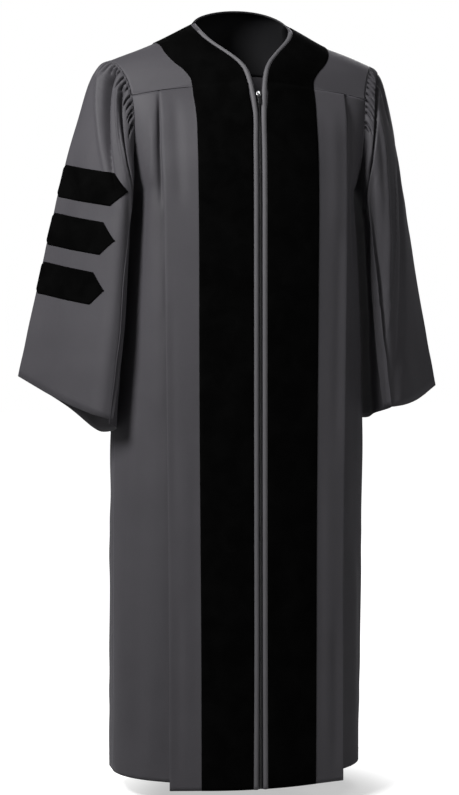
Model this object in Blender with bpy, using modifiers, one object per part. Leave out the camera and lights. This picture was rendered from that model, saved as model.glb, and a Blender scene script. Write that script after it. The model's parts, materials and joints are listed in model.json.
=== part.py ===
"""Graduation gown, worn with no wearer: metres, +Z up, the front faces -Y and the wearer's left is +X.

The origin lies between the two side-neck points, at the height where the shoulders carry the gown.
Each piece of cloth is an open surface, worked out from the sizes below, with a Solidify wall.
"""

from collections import namedtuple
import math

import bmesh
import bpy
import numpy as np

PART_NAME = "graduation_gown"
SIDES = {"right": -1, "left": 1}

CLOTH_WALL = 0.0012
VELVET_WALL = 0.0012
FACING_WALL = 0.0010
TAPE_WALL = 0.0010
LAYER_GAP = 0.0003
SEAM_SETBACK = 0.0005
SIDE_SETBACK = 0.0006
PLEAT_SETBACK = 0.0009

# Front panel of the wearer's left side, level by level. The edge is at the zip, the velvet's outer edge
# and the pleat's fold follow, and the side panel runs from beside the fold round a corner to the side seam.
Front = namedtuple(
    "Front",
    "z edge_x centre_y velvet_x velvet_y fold_x fold_y beside_y corner_x corner_y side_x side_y",
)
FRONTS = [
    Front(-0.117, 0.0078, -0.1220, 0.1090, -0.0904, 0.1660, -0.0880, -0.0835, 0.1900, -0.0800, 0.2085, -0.0720),
    Front(-0.150, 0.0036, -0.1340, 0.1073, -0.1100, 0.1665, -0.1010, -0.0960, 0.1890, -0.0890, 0.2070, -0.0720),
    Front(-0.210, 0.0033, -0.1400, 0.1075, -0.1270, 0.1667, -0.1090, -0.1030, 0.1900, -0.0920, 0.2065, -0.0600),
    Front(-0.275, 0.0033, -0.1430, 0.1075, -0.1325, 0.1650, -0.1170, -0.1060, 0.1930, -0.0930, 0.2050, 0.0000),
    Front(-0.380, 0.0033, -0.1440, 0.1070, -0.1345, 0.1640, -0.1195, -0.1055, 0.1990, -0.0880, 0.2120, 0.0030),
    Front(-0.520, 0.0033, -0.1450, 0.1067, -0.1335, 0.1625, -0.1205, -0.1020, 0.2070, -0.0790, 0.2220, 0.0040),
    Front(-0.690, 0.0033, -0.1460, 0.1060, -0.1325, 0.1610, -0.1215, -0.0960, 0.2150, -0.0640, 0.2315, 0.0080),
    Front(-0.870, 0.0033, -0.1475, 0.1050, -0.1335, 0.1595, -0.1225, -0.0890, 0.2195, -0.0500, 0.2330, 0.0160),
    Front(-1.090, 0.0033, -0.1495, 0.1043, -0.1365, 0.1585, -0.1245, -0.0805, 0.2220, -0.0380, 0.2335, 0.0220),
    Front(-1.332, 0.0042, -0.1500, 0.1040, -0.1370, 0.1587, -0.1260, -0.0720, 0.2225, -0.0280, 0.2320, 0.0280),
]
HEM_Z = FRONTS[-1].z
UNDERARM_Z = -0.275
UPPER_LEVELS = [-0.117, -0.140, -0.170, -0.205, -0.240, -0.264, UNDERARM_Z]
LOWER_LEVELS = [-0.320, -0.400, -0.520, -0.650, -0.790, -0.930, -1.070, -1.210, HEM_Z]
LEVEL_SEAM_END = -0.210
PLEAT_UNDERLAY = 0.030
FOLD_RADIUS = 0.0015
LAYER_STEP = 0.0015
UNDERLAY_SHARE = 0.85
PIPING_WIDTH, PIPING_WALL, PIPING_HEIGHTS, PIPING_FIRST_ROW = 0.0090, 0.0010, (0.0014, 0.0030, 0.0014), 3
SIDE_PANEL_STEPS = 5

FRONT_SEAM_Z, FRONT_SEAM_DROP = -0.0985, 0.0185
BACK_SEAM_Z, BACK_SEAM_DROP = -0.105, 0.012

ARM_CENTRE_Z, ARM_HALF_HEIGHT, ARM_HALF_WIDTH = -0.1635, 0.1115, 0.0720
ARM_TOP_X, ARM_LOW_X, ARM_X_FALL = 0.2380, 0.2060, 0.035

# The neck's cut edge on the wearer's left, from the top of the zip to the shoulder seam.
NECK_EDGE = [
    (0.0078, -0.1220, -0.0985),
    (0.0144, -0.1120, -0.0730),
    (0.0236, -0.0990, -0.0577),
    (0.0363, -0.0838, -0.0442),
    (0.0488, -0.0685, -0.0327),
    (0.0606, -0.0560, -0.0222),
    (0.0715, -0.0440, -0.0110),
    (0.0800, -0.0240, 0.0040),
    (0.0830, 0.0080, 0.0185),
]
# The velvet's outer edge over the yoke, from the yoke seam to the shoulder seam.
VELVET_EDGE = [
    (0.1090, -0.0904, -0.1036),
    (0.1110, -0.0840, -0.0885),
    (0.1206, -0.0765, -0.0742),
    (0.1365, -0.0630, -0.0590),
    (0.1480, -0.0460, -0.0430),
    (0.1525, -0.0240, -0.0285),
    (0.1545, 0.0080, -0.0205),
]
SHOULDER_SEAM_Y = 0.0080
BACK_NECK_HALF_WIDTH, BACK_NECK_DEPTH, BACK_NECK_RISE = 0.0830, 0.044, 0.0280
BACK_NECK_FULLNESS, BACK_NECK_LEAN = 1.20, 0.007
SHOULDER_CROWN = 0.0025
YOKE_ROWS = 11
YOKE_CROWN, YOKE_CROWN_SHARES = 0.0032, [0, 0.5, 0.8, 0.6, 0, 0.75, 1, 0.75, 0]
BACK_YOKE_ROWS = 7
BACK_VELVET_SHARE, BACK_VELVET_ROWS = 0.72, 4

# Back panel, level by level: how far back its centre lies, and the depth of its gathers and soft folds.
Back = namedtuple("Back", "z centre_y gather fold")
BACKS = [
    Back(-0.105, 0.1160, 0.0000, 0.0000),
    Back(-0.140, 0.1230, 0.0036, 0.0005),
    Back(-0.210, 0.1320, 0.0034, 0.0020),
    Back(-0.275, 0.1370, 0.0022, 0.0038),
    Back(-0.390, 0.1440, 0.0008, 0.0060),
    Back(-0.520, 0.1520, 0.0000, 0.0080),
    Back(-0.870, 0.1760, 0.0000, 0.0120),
    Back(-1.332, 0.2080, 0.0000, 0.0170),
]
BACK_GATHERS = 18
BACK_FOLDS = 6
BACK_SIDE_STEPS = 5
BACK_ROUNDNESS, BACK_FLATNESS = 0.80, 2.4
GATHER_FADE, FOLD_FADE, FOLD_UNEVENNESS, FOLD_UNEVEN_WAVES = 0.25, 0.42, 0.6, 3.0
GATHERED_SHARE = 0.80

# Lines down the sleeve from armhole to cuff, on the wearer's left. The share is the way round from the
# outer crease over the front, the angle is the place on the armhole, the puff is how the cloth leaves the
# armhole, and the low point and cuff point shape the rest.
Guide = namedtuple("Guide", "share angle puff_x puff_y puff_z low_x low_y low_z cuff_x cuff_y cuff_z")
GUIDES = [
    Guide(0.00, 0, 0.047, 0.002, -0.008, 0.322, 0.030, -0.280, 0.396, 0.071, -0.611),
    Guide(0.12, 38, 0.042, -0.012, -0.008, 0.300, -0.014, -0.300, 0.350, 0.012, -0.640),
    Guide(0.24, 72, 0.034, -0.020, -0.008, 0.268, -0.056, -0.340, 0.304, -0.046, -0.663),
    Guide(0.33, 100, 0.020, -0.024, -0.010, 0.226, -0.092, -0.390, 0.266, -0.084, -0.678),
    Guide(0.38, 118, 0.008, -0.022, -0.018, 0.196, -0.095, -0.420, 0.245, -0.090, -0.686),
    Guide(0.43, 140, 0.010, -0.010, -0.018, 0.208, -0.068, -0.440, 0.2365, -0.068, -0.694),
    Guide(0.53, 180, 0.022, 0.000, -0.014, 0.240, 0.000, -0.450, 0.243, 0.010, -0.709),
    Guide(0.66, 218, 0.022, 0.012, -0.010, 0.247, 0.085, -0.440, 0.256, 0.100, -0.708),
    Guide(0.76, 256, 0.026, 0.028, -0.008, 0.262, 0.140, -0.380, 0.285, 0.165, -0.680),
    Guide(0.87, 312, 0.038, 0.018, -0.008, 0.300, 0.095, -0.310, 0.345, 0.130, -0.640),
    Guide(1.00, 360, 0.047, 0.002, -0.008, 0.322, 0.030, -0.280, 0.396, 0.071, -0.611),
]
SLEEVE_LEVELS = [0.0, 0.025, 0.06, 0.11, 0.18, 0.27, 0.38, 0.50, 0.62, 0.74, 0.87, 1.0]
GATHER_STEP_ANGLE, GATHERED_ANGLE, LAST_GATHERS = 4.8, 96.0, 3
PLAIN_STEP_ANGLE = 12.0
SHARE_SAMPLES = 721
SLEEVE_GATHER, GATHER_RISE, GATHER_FULL = 0.0040, 0.06, 0.10
GATHER_REACH, GATHER_REACH_CHANGE, GATHER_UNEVENNESS = 0.38, 0.12, 2.4
SLEEVE_SEAM_GAP = 0.0009
# The wearer's left sleeve hangs a little straighter: its outer corner is lower, its inner hem is higher
# and its outer crease stands out more.
Hang = namedtuple("Hang", "outer_drop inner_drop crease_out")
SLEEVE_HANG = {"right": Hang(0.0, 0.0, 0.004), "left": Hang(-0.0275, 0.020, -0.018)}
CUFF_OUTER_X, CUFF_INNER_X = 0.396, 0.236

# Velvet bars: the heights where they start down the outer crease, and their common size.
BAR_TOPS = [-0.2338, -0.3181, -0.4046]
BAR_HEIGHT, BAR_HALF_LENGTH, BAR_POINT, BAR_SLOPE = 0.0564, 0.090, 0.0267, 0.146
BAR_CLEARANCE = 0.0006
BAR_COLUMN_SPACING = 0.0015
BAR_END_SHARE = 0.04
BAR_ROWS = 3
# How far behind the outer crease the middle of the bars lies: the right sleeve hangs turned forwards and
# the left one backwards.
BAR_TURN = {"right": -0.068, "left": 0.094}

# Zip: the slider sits at the closed top of the chain.
CHAIN_HALF_WIDTH, CHAIN_BACK, CHAIN_FRONT = 0.0021, -0.0012, 0.0006
CHAIN_TOP_Z = -0.1180
TAPE_INNER_X = 0.0003
SLIDER_Z, SLIDER_HALF_WIDTH, SLIDER_HALF_LENGTH = -0.1160, 0.0037, 0.0050
SLIDER_FRONT_PLATE = (0.0009, 0.0021)
SLIDER_BACK_PLATE = (-0.0040, -0.0028)
SLIDER_NOSE_HALF_WIDTH, SLIDER_NOSE_START = 0.0015, 0.0030
BRIDGE_HALF_WIDTH, BRIDGE_REACH, BRIDGE_HALF_LENGTH, BRIDGE_BAR = 0.0008, 0.0051, 0.0035, 0.0010
TAB_HINGE_ALONG, TAB_HINGE_OUT = -0.0017, 0.0031
TAB_HALF_WIDTH, TAB_LENGTH, TAB_HALF_THICKNESS = 0.0025, 0.0180, 0.0005
TAB_EYE_HALF_WIDTH, TAB_EYE_LENGTH, TAB_EYE_MARGIN = 0.0013, 0.0062, 0.002
TAB_PIN_RADIUS, TAB_PIN_SIDES = 0.0006, 16
JOINED_OVERLAP = 0.0002

COLOURS = {
    "cloth": ((0.060, 0.058, 0.064), 0.85, 0.0),
    "velvet": ((0.004, 0.004, 0.004), 0.95, 0.0),
    "facing": ((0.008, 0.008, 0.009), 0.90, 0.0),
    "piping": ((0.075, 0.073, 0.078), 0.80, 0.0),
    "tape": ((0.012, 0.012, 0.013), 0.85, 0.0),
    "chain": ((0.015, 0.015, 0.016), 0.55, 0.0),
    "metal": ((0.55, 0.55, 0.56), 0.35, 1.0),
    "dark_metal": ((0.05, 0.05, 0.05), 0.40, 1.0),
}


def clear_scene():
    for obj in list(bpy.data.objects):
        bpy.data.objects.remove(obj, do_unlink=True)


def make_material(name):
    colour, roughness, metallic = COLOURS[name]
    material = bpy.data.materials.new(name)
    material.use_nodes = True
    shader = material.node_tree.nodes["Principled BSDF"]
    shader.inputs["Base Color"].default_value = (*colour, 1.0)
    shader.inputs["Roughness"].default_value = roughness
    shader.inputs["Metallic"].default_value = metallic
    return material


def smooth_read(place, places, values):
    """A smooth curve through the values, read at the place: cubic, with the slopes of its neighbours."""
    places = np.asarray(places, float)
    values = np.asarray(values, float)
    slopes = np.gradient(values, places, axis=0)
    place = np.clip(place, places[0], places[-1])
    index = np.clip(np.searchsorted(places, place, side="right") - 1, 0, len(places) - 2)
    span = places[index + 1] - places[index]
    t = (place - places[index]) / span
    return (
        (2 * t**3 - 3 * t**2 + 1) * values[index]
        + (t**3 - 2 * t**2 + t) * span * slopes[index]
        + (3 * t**2 - 2 * t**3) * values[index + 1]
        + (t**3 - t**2) * span * slopes[index + 1]
    )


def read_table(table, key, place):
    """A row of the table at any place of its key column."""
    rows = sorted(table, key=lambda row: getattr(row, key))
    places = [getattr(row, key) for row in rows]
    return type(table[0])(*smooth_read(place, places, rows))


def along_curve(points, share):
    """The point at a share of the way along a smooth curve through the points."""
    points = np.asarray(points, float)
    steps = np.linalg.norm(np.diff(points, axis=0), axis=1)
    lengths = np.concatenate([[0.0], np.cumsum(steps)])
    return smooth_read(share * lengths[-1], lengths, points)


def smooth_step(value, start, end):
    t = min(max((value - start) / (end - start), 0.0), 1.0)
    return t * t * (3 - 2 * t)


def arm_point(angle):
    """A point of the armhole: 0 degrees at the shoulder tip, 90 in front, 180 under the arm."""
    z = ARM_CENTRE_Z + ARM_HALF_HEIGHT * math.cos(math.radians(angle))
    y = -ARM_HALF_WIDTH * math.sin(math.radians(angle))
    top_z = ARM_CENTRE_Z + ARM_HALF_HEIGHT
    x = ARM_LOW_X + (ARM_TOP_X - ARM_LOW_X) * math.exp(-(top_z - z) / ARM_X_FALL)
    return np.array([x, y, z])


def arm_angle_at(z):
    """The armhole's front angle at a height."""
    return math.degrees(math.acos(np.clip((z - ARM_CENTRE_Z) / ARM_HALF_HEIGHT, -1.0, 1.0)))


def front_seam_z(x):
    return FRONT_SEAM_Z - FRONT_SEAM_DROP * (x / ARM_LOW_X) ** 2


def back_seam_z(x):
    return BACK_SEAM_Z - BACK_SEAM_DROP * (x / ARM_LOW_X) ** 2


def level_z(x, level, seam_z):
    """Rows follow the yoke seam at the top and are level from LEVEL_SEAM_END down."""
    top = UPPER_LEVELS[0]
    if level <= LEVEL_SEAM_END:
        return level
    share = (top - level) / (top - LEVEL_SEAM_END)
    return seam_z(x) + (LEVEL_SEAM_END - seam_z(x)) * share


def front_row(level):
    """One level of a front, from the zip edge over the pleat to the armhole or the side seam."""
    row = read_table(FRONTS, "z", level)
    pleat_x = row.fold_x - PLEAT_UNDERLAY
    bow = (row.velvet_y - row.centre_y) / row.velvet_x**2

    def front_y(x):
        if x <= row.velvet_x:
            return row.centre_y + bow * x * x
        share = (x - row.velvet_x) / (row.fold_x - row.velvet_x)
        return row.velvet_y + (row.fold_y - row.velvet_y) * share

    opening = row.beside_y - row.fold_y - 2 * FOLD_RADIUS - LAYER_STEP
    under_y = front_y(pleat_x) + 2 * FOLD_RADIUS + opening * UNDERLAY_SHARE
    velvet_inner = row.edge_x + PIPING_WIDTH
    flat = [row.edge_x, velvet_inner, (2 * velvet_inner + row.velvet_x) / 3]
    flat += [(velvet_inner + 2 * row.velvet_x) / 3, row.velvet_x, pleat_x]
    plan = [(x, front_y(x)) for x in flat]
    plan += [
        (row.fold_x - FOLD_RADIUS, row.fold_y),
        (row.fold_x, row.fold_y + FOLD_RADIUS),
        (row.fold_x - FOLD_RADIUS, row.fold_y + 2 * FOLD_RADIUS),
        (pleat_x, under_y),
        (pleat_x, under_y + LAYER_STEP),
    ]
    if level > UNDERARM_Z:
        side = arm_point(arm_angle_at(level))
    else:
        side = (row.side_x, row.side_y)
    start = (row.fold_x - 2 * FOLD_RADIUS, row.beside_y)
    for step in range(SIDE_PANEL_STEPS + 1):
        t = step / SIDE_PANEL_STEPS
        plan.append(
            tuple(
                (1 - t) ** 2 * start[i] + 2 * t * (1 - t) * (row.corner_x, row.corner_y)[i] + t * t * side[i]
                for i in range(2)
            )
        )
    return [(x, y, level_z(x, level, front_seam_z)) for x, y in plan]


FRONT_VELVET_COLUMNS = slice(1, 5)
UNDERLAY_COLUMNS = slice(7, 11)


def front_grid():
    return np.array([front_row(level) for level in UPPER_LEVELS + LOWER_LEVELS])


def yoke_grid():
    """Rows from the front yoke seam to the shoulder seam, columns from the neck edge to the armhole."""
    front_angle = arm_angle_at(UPPER_LEVELS[0])
    back_angle = -math.degrees(math.asin(SHOULDER_SEAM_Y / ARM_HALF_WIDTH))
    seam = np.array(front_row(UPPER_LEVELS[0]))
    rows = []
    # The first row made is the shoulder seam: what it lacks of the seam's curve is spread over the rest.
    lift = None
    for share in np.linspace(1, 0, YOKE_ROWS):
        neck = along_curve(NECK_EDGE, share)
        velvet = along_curve(VELVET_EDGE, share)
        arm = arm_point(front_angle + (back_angle - front_angle) * share)
        piping = PIPING_WIDTH / np.linalg.norm(velvet - neck)
        inner = [neck + (velvet - neck) * s for s in (0, piping, (1 + 2 * piping) / 3, (2 + piping) / 3, 1)]
        outer = [velvet + (arm - velvet) * s for s in (0.25, 0.5, 0.75, 1)]
        row = np.array(inner + outer)
        if lift is None:
            along = (row[:, 0] - neck[0]) / (arm - neck)[0]
            lift = np.array([shoulder_point(place) for place in along]) - row
        row += lift * share**2
        row[:, 2] += YOKE_CROWN * np.array(YOKE_CROWN_SHARES) * math.sin(math.pi * share)
        rows.append(row)
    grid = np.array(rows[::-1])
    # The first row runs along the fronts' own seam line.
    xs = grid[0, :, 0]
    outside = list(seam[:7]) + list(seam[-SIDE_PANEL_STEPS:])
    outside = np.array(outside)
    grid[0, :, 1] = np.interp(xs, outside[:, 0], outside[:, 1])
    grid[0, :, 2] = [front_seam_z(x) for x in xs]
    grid[0, -1] = arm_point(front_angle)
    return grid


YOKE_VELVET_COLUMNS = slice(1, 5)


def back_neck_point(share):
    """The back neck edge from the shoulder seam at the left (0) over the centre (0.5) to the right (1)."""
    angle = math.pi * share
    behind = max(math.sin(angle), 0.0)
    return np.array(
        [
            BACK_NECK_HALF_WIDTH * math.cos(angle) + BACK_NECK_LEAN * behind**2,
            SHOULDER_SEAM_Y + BACK_NECK_DEPTH * behind,
            NECK_EDGE[-1][2] + BACK_NECK_RISE * behind**BACK_NECK_FULLNESS,
        ]
    )


def shoulder_point(along):
    """The shoulder seam on the wearer's left, from the neck (0) over the velvet's edge to the arm (1)."""
    neck_end, velvet_end = np.array(NECK_EDGE[-1]), np.array(VELVET_EDGE[-1])
    tip = arm_point(-math.degrees(math.asin(SHOULDER_SEAM_Y / ARM_HALF_WIDTH)))
    places = [0.0, (velvet_end - neck_end)[0] / (tip - neck_end)[0], 1.0]
    point = smooth_read(along, places, [neck_end, velvet_end, tip])
    return point + np.array([0, 0, SHOULDER_CROWN * math.sin(math.pi * along)])


def back_yoke_columns():
    """The shares across the back yoke, from the left armhole (-1) to the right (1), and its neck part."""
    shoulder = [1.0, 0.86, 0.72, 0.58]
    neck = [0.44, 0.37, 0.29, 0.20, 0.10, 0.0]
    half = shoulder + neck
    return half + [-share for share in reversed(half[:-1])]


BACK_YOKE_NECK_SHARE = 0.44
FACING_COLUMNS = slice(3, -3)


def back_yoke_grid():
    """Rows from the neck and shoulder seams down to the back yoke seam, columns from left to right."""
    seam_angle = -math.degrees(math.asin(SHOULDER_SEAM_Y / ARM_HALF_WIDTH))
    end_angle = -arm_angle_at(UPPER_LEVELS[0])
    rows = []
    for turn in np.linspace(0, math.pi / 2, BACK_YOKE_ROWS):
        row = []
        for share in back_yoke_columns():
            side = 1 if share >= 0 else -1
            across = abs(share)
            if across <= BACK_YOKE_NECK_SHARE:
                top = back_neck_point(0.5 - 0.5 * side * across / BACK_YOKE_NECK_SHARE) * (side, 1, 1)
            else:
                top = shoulder_point((across - BACK_YOKE_NECK_SHARE) / (1 - BACK_YOKE_NECK_SHARE))
            low = back_plan(across, UPPER_LEVELS[0])
            x = top[0] + (low[0] - top[0]) * (1 - math.cos(turn))
            y = top[1] + (low[1] - top[1]) * math.sin(turn)
            z = low[2] + (top[2] - low[2]) * math.cos(turn)
            if across == 1.0:
                x, y, z = arm_point(seam_angle + (end_angle - seam_angle) * turn / (math.pi / 2))
            row.append((side * x, y, z))
        rows.append(row)
    return np.array(rows)


def back_plan(across, level):
    """A point of the smooth back at a share across (0 centre, 1 armhole or side seam) and a level."""
    centre_y = read_table(BACKS, "z", level).centre_y
    if level > UNDERARM_Z:
        side_x, side_y, _ = arm_point(-arm_angle_at(level))
    else:
        row = read_table(FRONTS, "z", level)
        side_x, side_y = row.side_x, row.side_y
    turn = across * math.pi / 2
    x = side_x * math.sin(turn) ** BACK_ROUNDNESS
    # Flat across the shoulder blades, and round at the sides from the underarm down.
    flat = 1 - (x / side_x) ** BACK_FLATNESS
    rounded = max(math.cos(turn), 0.0) ** BACK_ROUNDNESS
    share = smooth_step(-level, -UNDERARM_Z, -LOWER_LEVELS[2])
    y = side_y + (centre_y - side_y) * (flat + (rounded - flat) * share)
    return np.array([x, y, level_z(x, level, back_seam_z)])


def back_grid():
    """Rows from the back yoke seam to the hem, columns from the left side to the right."""
    steps = 2 * BACK_GATHERS
    gathered = np.linspace(-GATHERED_SHARE, GATHERED_SHARE, steps + 1)
    outer = np.linspace(GATHERED_SHARE, 1.0, BACK_SIDE_STEPS)[1:]
    shares = np.concatenate([-outer[::-1], gathered, outer])
    rows = []
    for level in UPPER_LEVELS + LOWER_LEVELS:
        sizes = read_table(BACKS, "z", level)
        points = np.array([back_plan(abs(share), level) * (np.sign(share) or 1, 1, 1) for share in shares])
        points[:, 0] = np.abs(points[:, 0]) * np.sign(shares)
        along = np.gradient(points, axis=0)
        outward = np.stack([along[:, 1], -along[:, 0]], 1)
        outward /= np.linalg.norm(outward, axis=1)[:, None]
        outward *= np.sign(outward[len(shares) // 2, 1])
        for index, share in enumerate(shares):
            fade = smooth_step(1 - abs(share), 0.0, GATHER_FADE)
            inside = abs(share) <= GATHERED_SHARE + 1e-6
            gather = sizes.gather * math.cos(math.pi * (index - BACK_SIDE_STEPS + 1)) * inside * fade
            uneven = FOLD_UNEVENNESS * math.sin(FOLD_UNEVEN_WAVES * share)
            fold = sizes.fold * math.sin(math.pi * BACK_FOLDS * share + uneven)
            fold *= smooth_step(1 - abs(share), 0.0, FOLD_FADE)
            points[index, :2] += outward[index] * (gather + fold)
        rows.append(points[::-1])
    return np.array(rows)


def sleeve_point(share, t, name):
    """A point of the smooth sleeve: share round from the outer crease, t down from armhole to cuff."""
    guide = read_table(GUIDES, "share", share)
    hang = SLEEVE_HANG[name]
    across = (guide.cuff_x - CUFF_INNER_X) / (CUFF_OUTER_X - CUFF_INNER_X)
    start = arm_point(guide.angle) + np.array([SLEEVE_SEAM_GAP, 0, 0])
    leave = start + np.array([guide.puff_x, guide.puff_y, guide.puff_z])
    low = np.array([guide.low_x + hang.crease_out * across**2, guide.low_y, guide.low_z])
    cuff = np.array([guide.cuff_x, guide.cuff_y, guide.cuff_z])
    cuff[2] += hang.inner_drop + (hang.outer_drop - hang.inner_drop) * across
    return (1 - t) ** 3 * start + 3 * t * (1 - t) ** 2 * leave + 3 * t * t * (1 - t) * low + t**3 * cuff


def sleeve_shares():
    """Shares round the sleeve: close together over the gathered head, wider under the arm."""
    gathered = np.arange(0, GATHERED_ANGLE + 0.1, GATHER_STEP_ANGLE)
    plain = np.arange(GATHERED_ANGLE + PLAIN_STEP_ANGLE, 360 - GATHERED_ANGLE - 0.1, PLAIN_STEP_ANGLE)
    angles = np.concatenate([gathered, plain, 360 - gathered[::-1]])
    fine = np.linspace(0, 1, SHARE_SAMPLES)
    fine_angles = [read_table(GUIDES, "share", share).angle for share in fine]
    return np.interp(angles, fine_angles, fine), len(gathered)


def plain_sleeve_grid(name):
    """Rows from armhole to cuff, columns round from the outer crease over the back and front to it."""
    shares, _ = sleeve_shares()
    return np.array([[sleeve_point(share, t, name) for share in shares[::-1]] for t in SLEEVE_LEVELS])


def sleeve_grid(name):
    """The plain sleeve with its head gathered."""
    _, gathered = sleeve_shares()
    grid = plain_sleeve_grid(name)
    normals = grid_normals(grid)
    normals[:, 0] = normals[:, -1] = (normals[:, 0] + normals[:, -1]) / 2
    last = grid.shape[1] - 1
    for row, t in enumerate(SLEEVE_LEVELS):
        for column in range(last + 1):
            place = min(column, last - column)
            reach = GATHER_REACH + GATHER_REACH_CHANGE * math.sin(GATHER_UNEVENNESS * place)
            size = smooth_step(t, 0, GATHER_RISE) * (1 - smooth_step(t, GATHER_FULL, reach))
            edge = 1 - smooth_step(place, gathered - LAST_GATHERS, gathered)
            grid[row, column] += normals[row, column] * SLEEVE_GATHER * size * edge * math.cos(math.pi * place)
    return grid


def grid_normals(grid):
    """The outward normals of a grid whose rows go down and whose columns turn to the left, seen from above."""
    down = np.gradient(grid, axis=0)
    across = np.gradient(grid, axis=1)
    normal = np.cross(down, across)
    return normal / np.linalg.norm(normal, axis=2)[:, :, None]


def moved(grid, distance):
    """The grid moved out along its normals."""
    return grid + grid_normals(grid) * distance


def grid_read(grid, row, column):
    """A point of the faceted grid at a fraction of its rows and columns."""
    r = int(np.clip(row, 0, grid.shape[0] - 2))
    c = int(np.clip(column, 0, grid.shape[1] - 2))
    u, v = row - r, column - c
    near = grid[r, c] * (1 - v) + grid[r, c + 1] * v
    far = grid[r + 1, c] * (1 - v) + grid[r + 1, c + 1] * v
    return near * (1 - u) + far * u


def row_at_height(grid, column, z):
    """The fraction of a row where a line down the sleeve passes a height."""
    heights = [grid_read(grid, row, column)[2] for row in range(grid.shape[0])]
    return float(np.interp(-z, [-height for height in heights], range(grid.shape[0])))


def bar_grid(name, top_z):
    """A bar laid on the sleeve: columns along its length, measured round the plain sleeve, and rows down."""
    sleeve, plain = sleeve_grid(name), plain_sleeve_grid(name)
    crease = sleeve.shape[1] - 1
    ring = np.concatenate([sleeve[:, :-1], sleeve], axis=1)
    smooth = np.concatenate([plain[:, :-1], plain], axis=1)
    outer = moved(ring, BAR_CLEARANCE + VELVET_WALL)
    middle_z = top_z - BAR_HEIGHT / 2
    around = [grid_read(smooth, row_at_height(smooth, c, middle_z), c) for c in range(smooth.shape[1])]
    steps = np.linalg.norm(np.diff(around, axis=0), axis=1)
    distance = np.concatenate([[0.0], np.cumsum(steps)])
    distance -= distance[crease]
    first = BAR_TURN[name] - BAR_HALF_LENGTH
    last = BAR_TURN[name] + BAR_HALF_LENGTH
    corners = np.array([first, first + BAR_POINT, last - BAR_POINT, last])
    places = [place for place in distance if np.min(np.abs(corners - place)) > BAR_COLUMN_SPACING]
    places = sorted([place for place in places if first < place < last] + list(corners))
    rows = []
    for height_share in np.linspace(0, 1, BAR_ROWS):
        row = []
        for place in places:
            end = min(place - first, last - place)
            half = BAR_HEIGHT / 2 * min(max(end / BAR_POINT, BAR_END_SHARE), 1.0)
            z = middle_z + half * (1 - 2 * height_share) - BAR_SLOPE * abs(place)
            column = np.interp(place, distance, range(len(distance)))
            row.append(grid_read(outer, row_at_height(ring, column, z), column))
        rows.append(row)
    return np.array(rows)


def set_back(edge, beside, gap):
    """Moves the points of an edge towards the line of points beside it."""
    towards = beside - edge
    edge += towards / np.linalg.norm(towards, axis=1)[:, None] * gap


def add_object(name, mesh, material, collection):
    obj = bpy.data.objects.new(name, mesh)
    mesh.materials.append(material)
    collection.objects.link(obj)
    return obj


def add_cloth(name, grid, wall, material, collection, side=1, closed=False):
    """An open surface through the grid's points with a wall behind it."""
    grid = np.array(grid, float)
    grid[:, :, 0] *= side
    rows, columns = grid.shape[:2]
    form = bmesh.new()
    points = [[form.verts.new(grid[r, c]) for c in range(columns - closed)] for r in range(rows)]
    for r in range(rows - 1):
        for c in range(columns - 1):
            n = (c + 1) % (columns - closed)
            corners = [points[r][c], points[r + 1][c], points[r + 1][n], points[r][n]]
            form.faces.new(corners if side > 0 else corners[::-1])
    mesh = bpy.data.meshes.new(name)
    form.to_mesh(mesh)
    form.free()
    mesh.shade_smooth()
    obj = add_object(name, mesh, material, collection)
    shell = obj.modifiers.new("Wall", "SOLIDIFY")
    shell.thickness = wall
    shell.offset = -1
    shell.use_rim = True
    return obj


def add_fronts(materials, collection):
    grid = front_grid()
    set_back(grid[0], grid[1], SEAM_SETBACK)
    set_back(grid[0, UNDERLAY_COLUMNS], grid[1, UNDERLAY_COLUMNS], PLEAT_SETBACK)
    below_arm = grid[len(UPPER_LEVELS) - 1 :]
    set_back(below_arm[:, -1], below_arm[:, -2], SIDE_SETBACK)
    for name, side in SIDES.items():
        add_cloth(f"front_{name}", grid, CLOTH_WALL, materials["cloth"], collection, side)


def add_yokes(materials, collection):
    grid = yoke_grid()
    set_back(grid[0], grid[1], SEAM_SETBACK)
    set_back(grid[-1], grid[-2], SEAM_SETBACK)
    for name, side in SIDES.items():
        add_cloth(f"yoke_{name}", grid[::-1], CLOTH_WALL, materials["cloth"], collection, side)


def add_backs(materials, collection):
    yoke = back_yoke_grid()
    set_back(yoke[0], yoke[1], SEAM_SETBACK)
    set_back(yoke[-1], yoke[-2], SEAM_SETBACK)
    add_cloth("back_yoke", yoke, CLOTH_WALL, materials["cloth"], collection)
    back = back_grid()
    set_back(back[0], back[1], SEAM_SETBACK)
    below_arm = back[len(UPPER_LEVELS) - 1 :]
    set_back(below_arm[:, 0], below_arm[:, 1], SIDE_SETBACK)
    set_back(below_arm[:, -1], below_arm[:, -2], SIDE_SETBACK)
    add_cloth("back", back, CLOTH_WALL, materials["cloth"], collection)
    inside = moved(yoke, -CLOTH_WALL - LAYER_GAP)[:-1, FACING_COLUMNS]
    add_cloth("back_neck_facing", inside, FACING_WALL, materials["facing"], collection)
    return yoke


def velvet_front_grid():
    """The velvet's strip of points, from the shoulder seam down over the yoke and the front to the hem."""
    yoke = yoke_grid()[::-1, YOKE_VELVET_COLUMNS]
    front = front_grid()[1:, FRONT_VELVET_COLUMNS]
    return np.concatenate([yoke, front])


def piping_grid():
    """Three lines of points under the piping, from the side neck down to the hem."""
    yoke = yoke_grid()[::-1, 0:2]
    front = front_grid()[1:, 0:2]
    edge = np.concatenate([yoke, front])
    return np.stack([edge[:, 0], edge.mean(axis=1), edge[:, 1]], axis=1)


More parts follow.
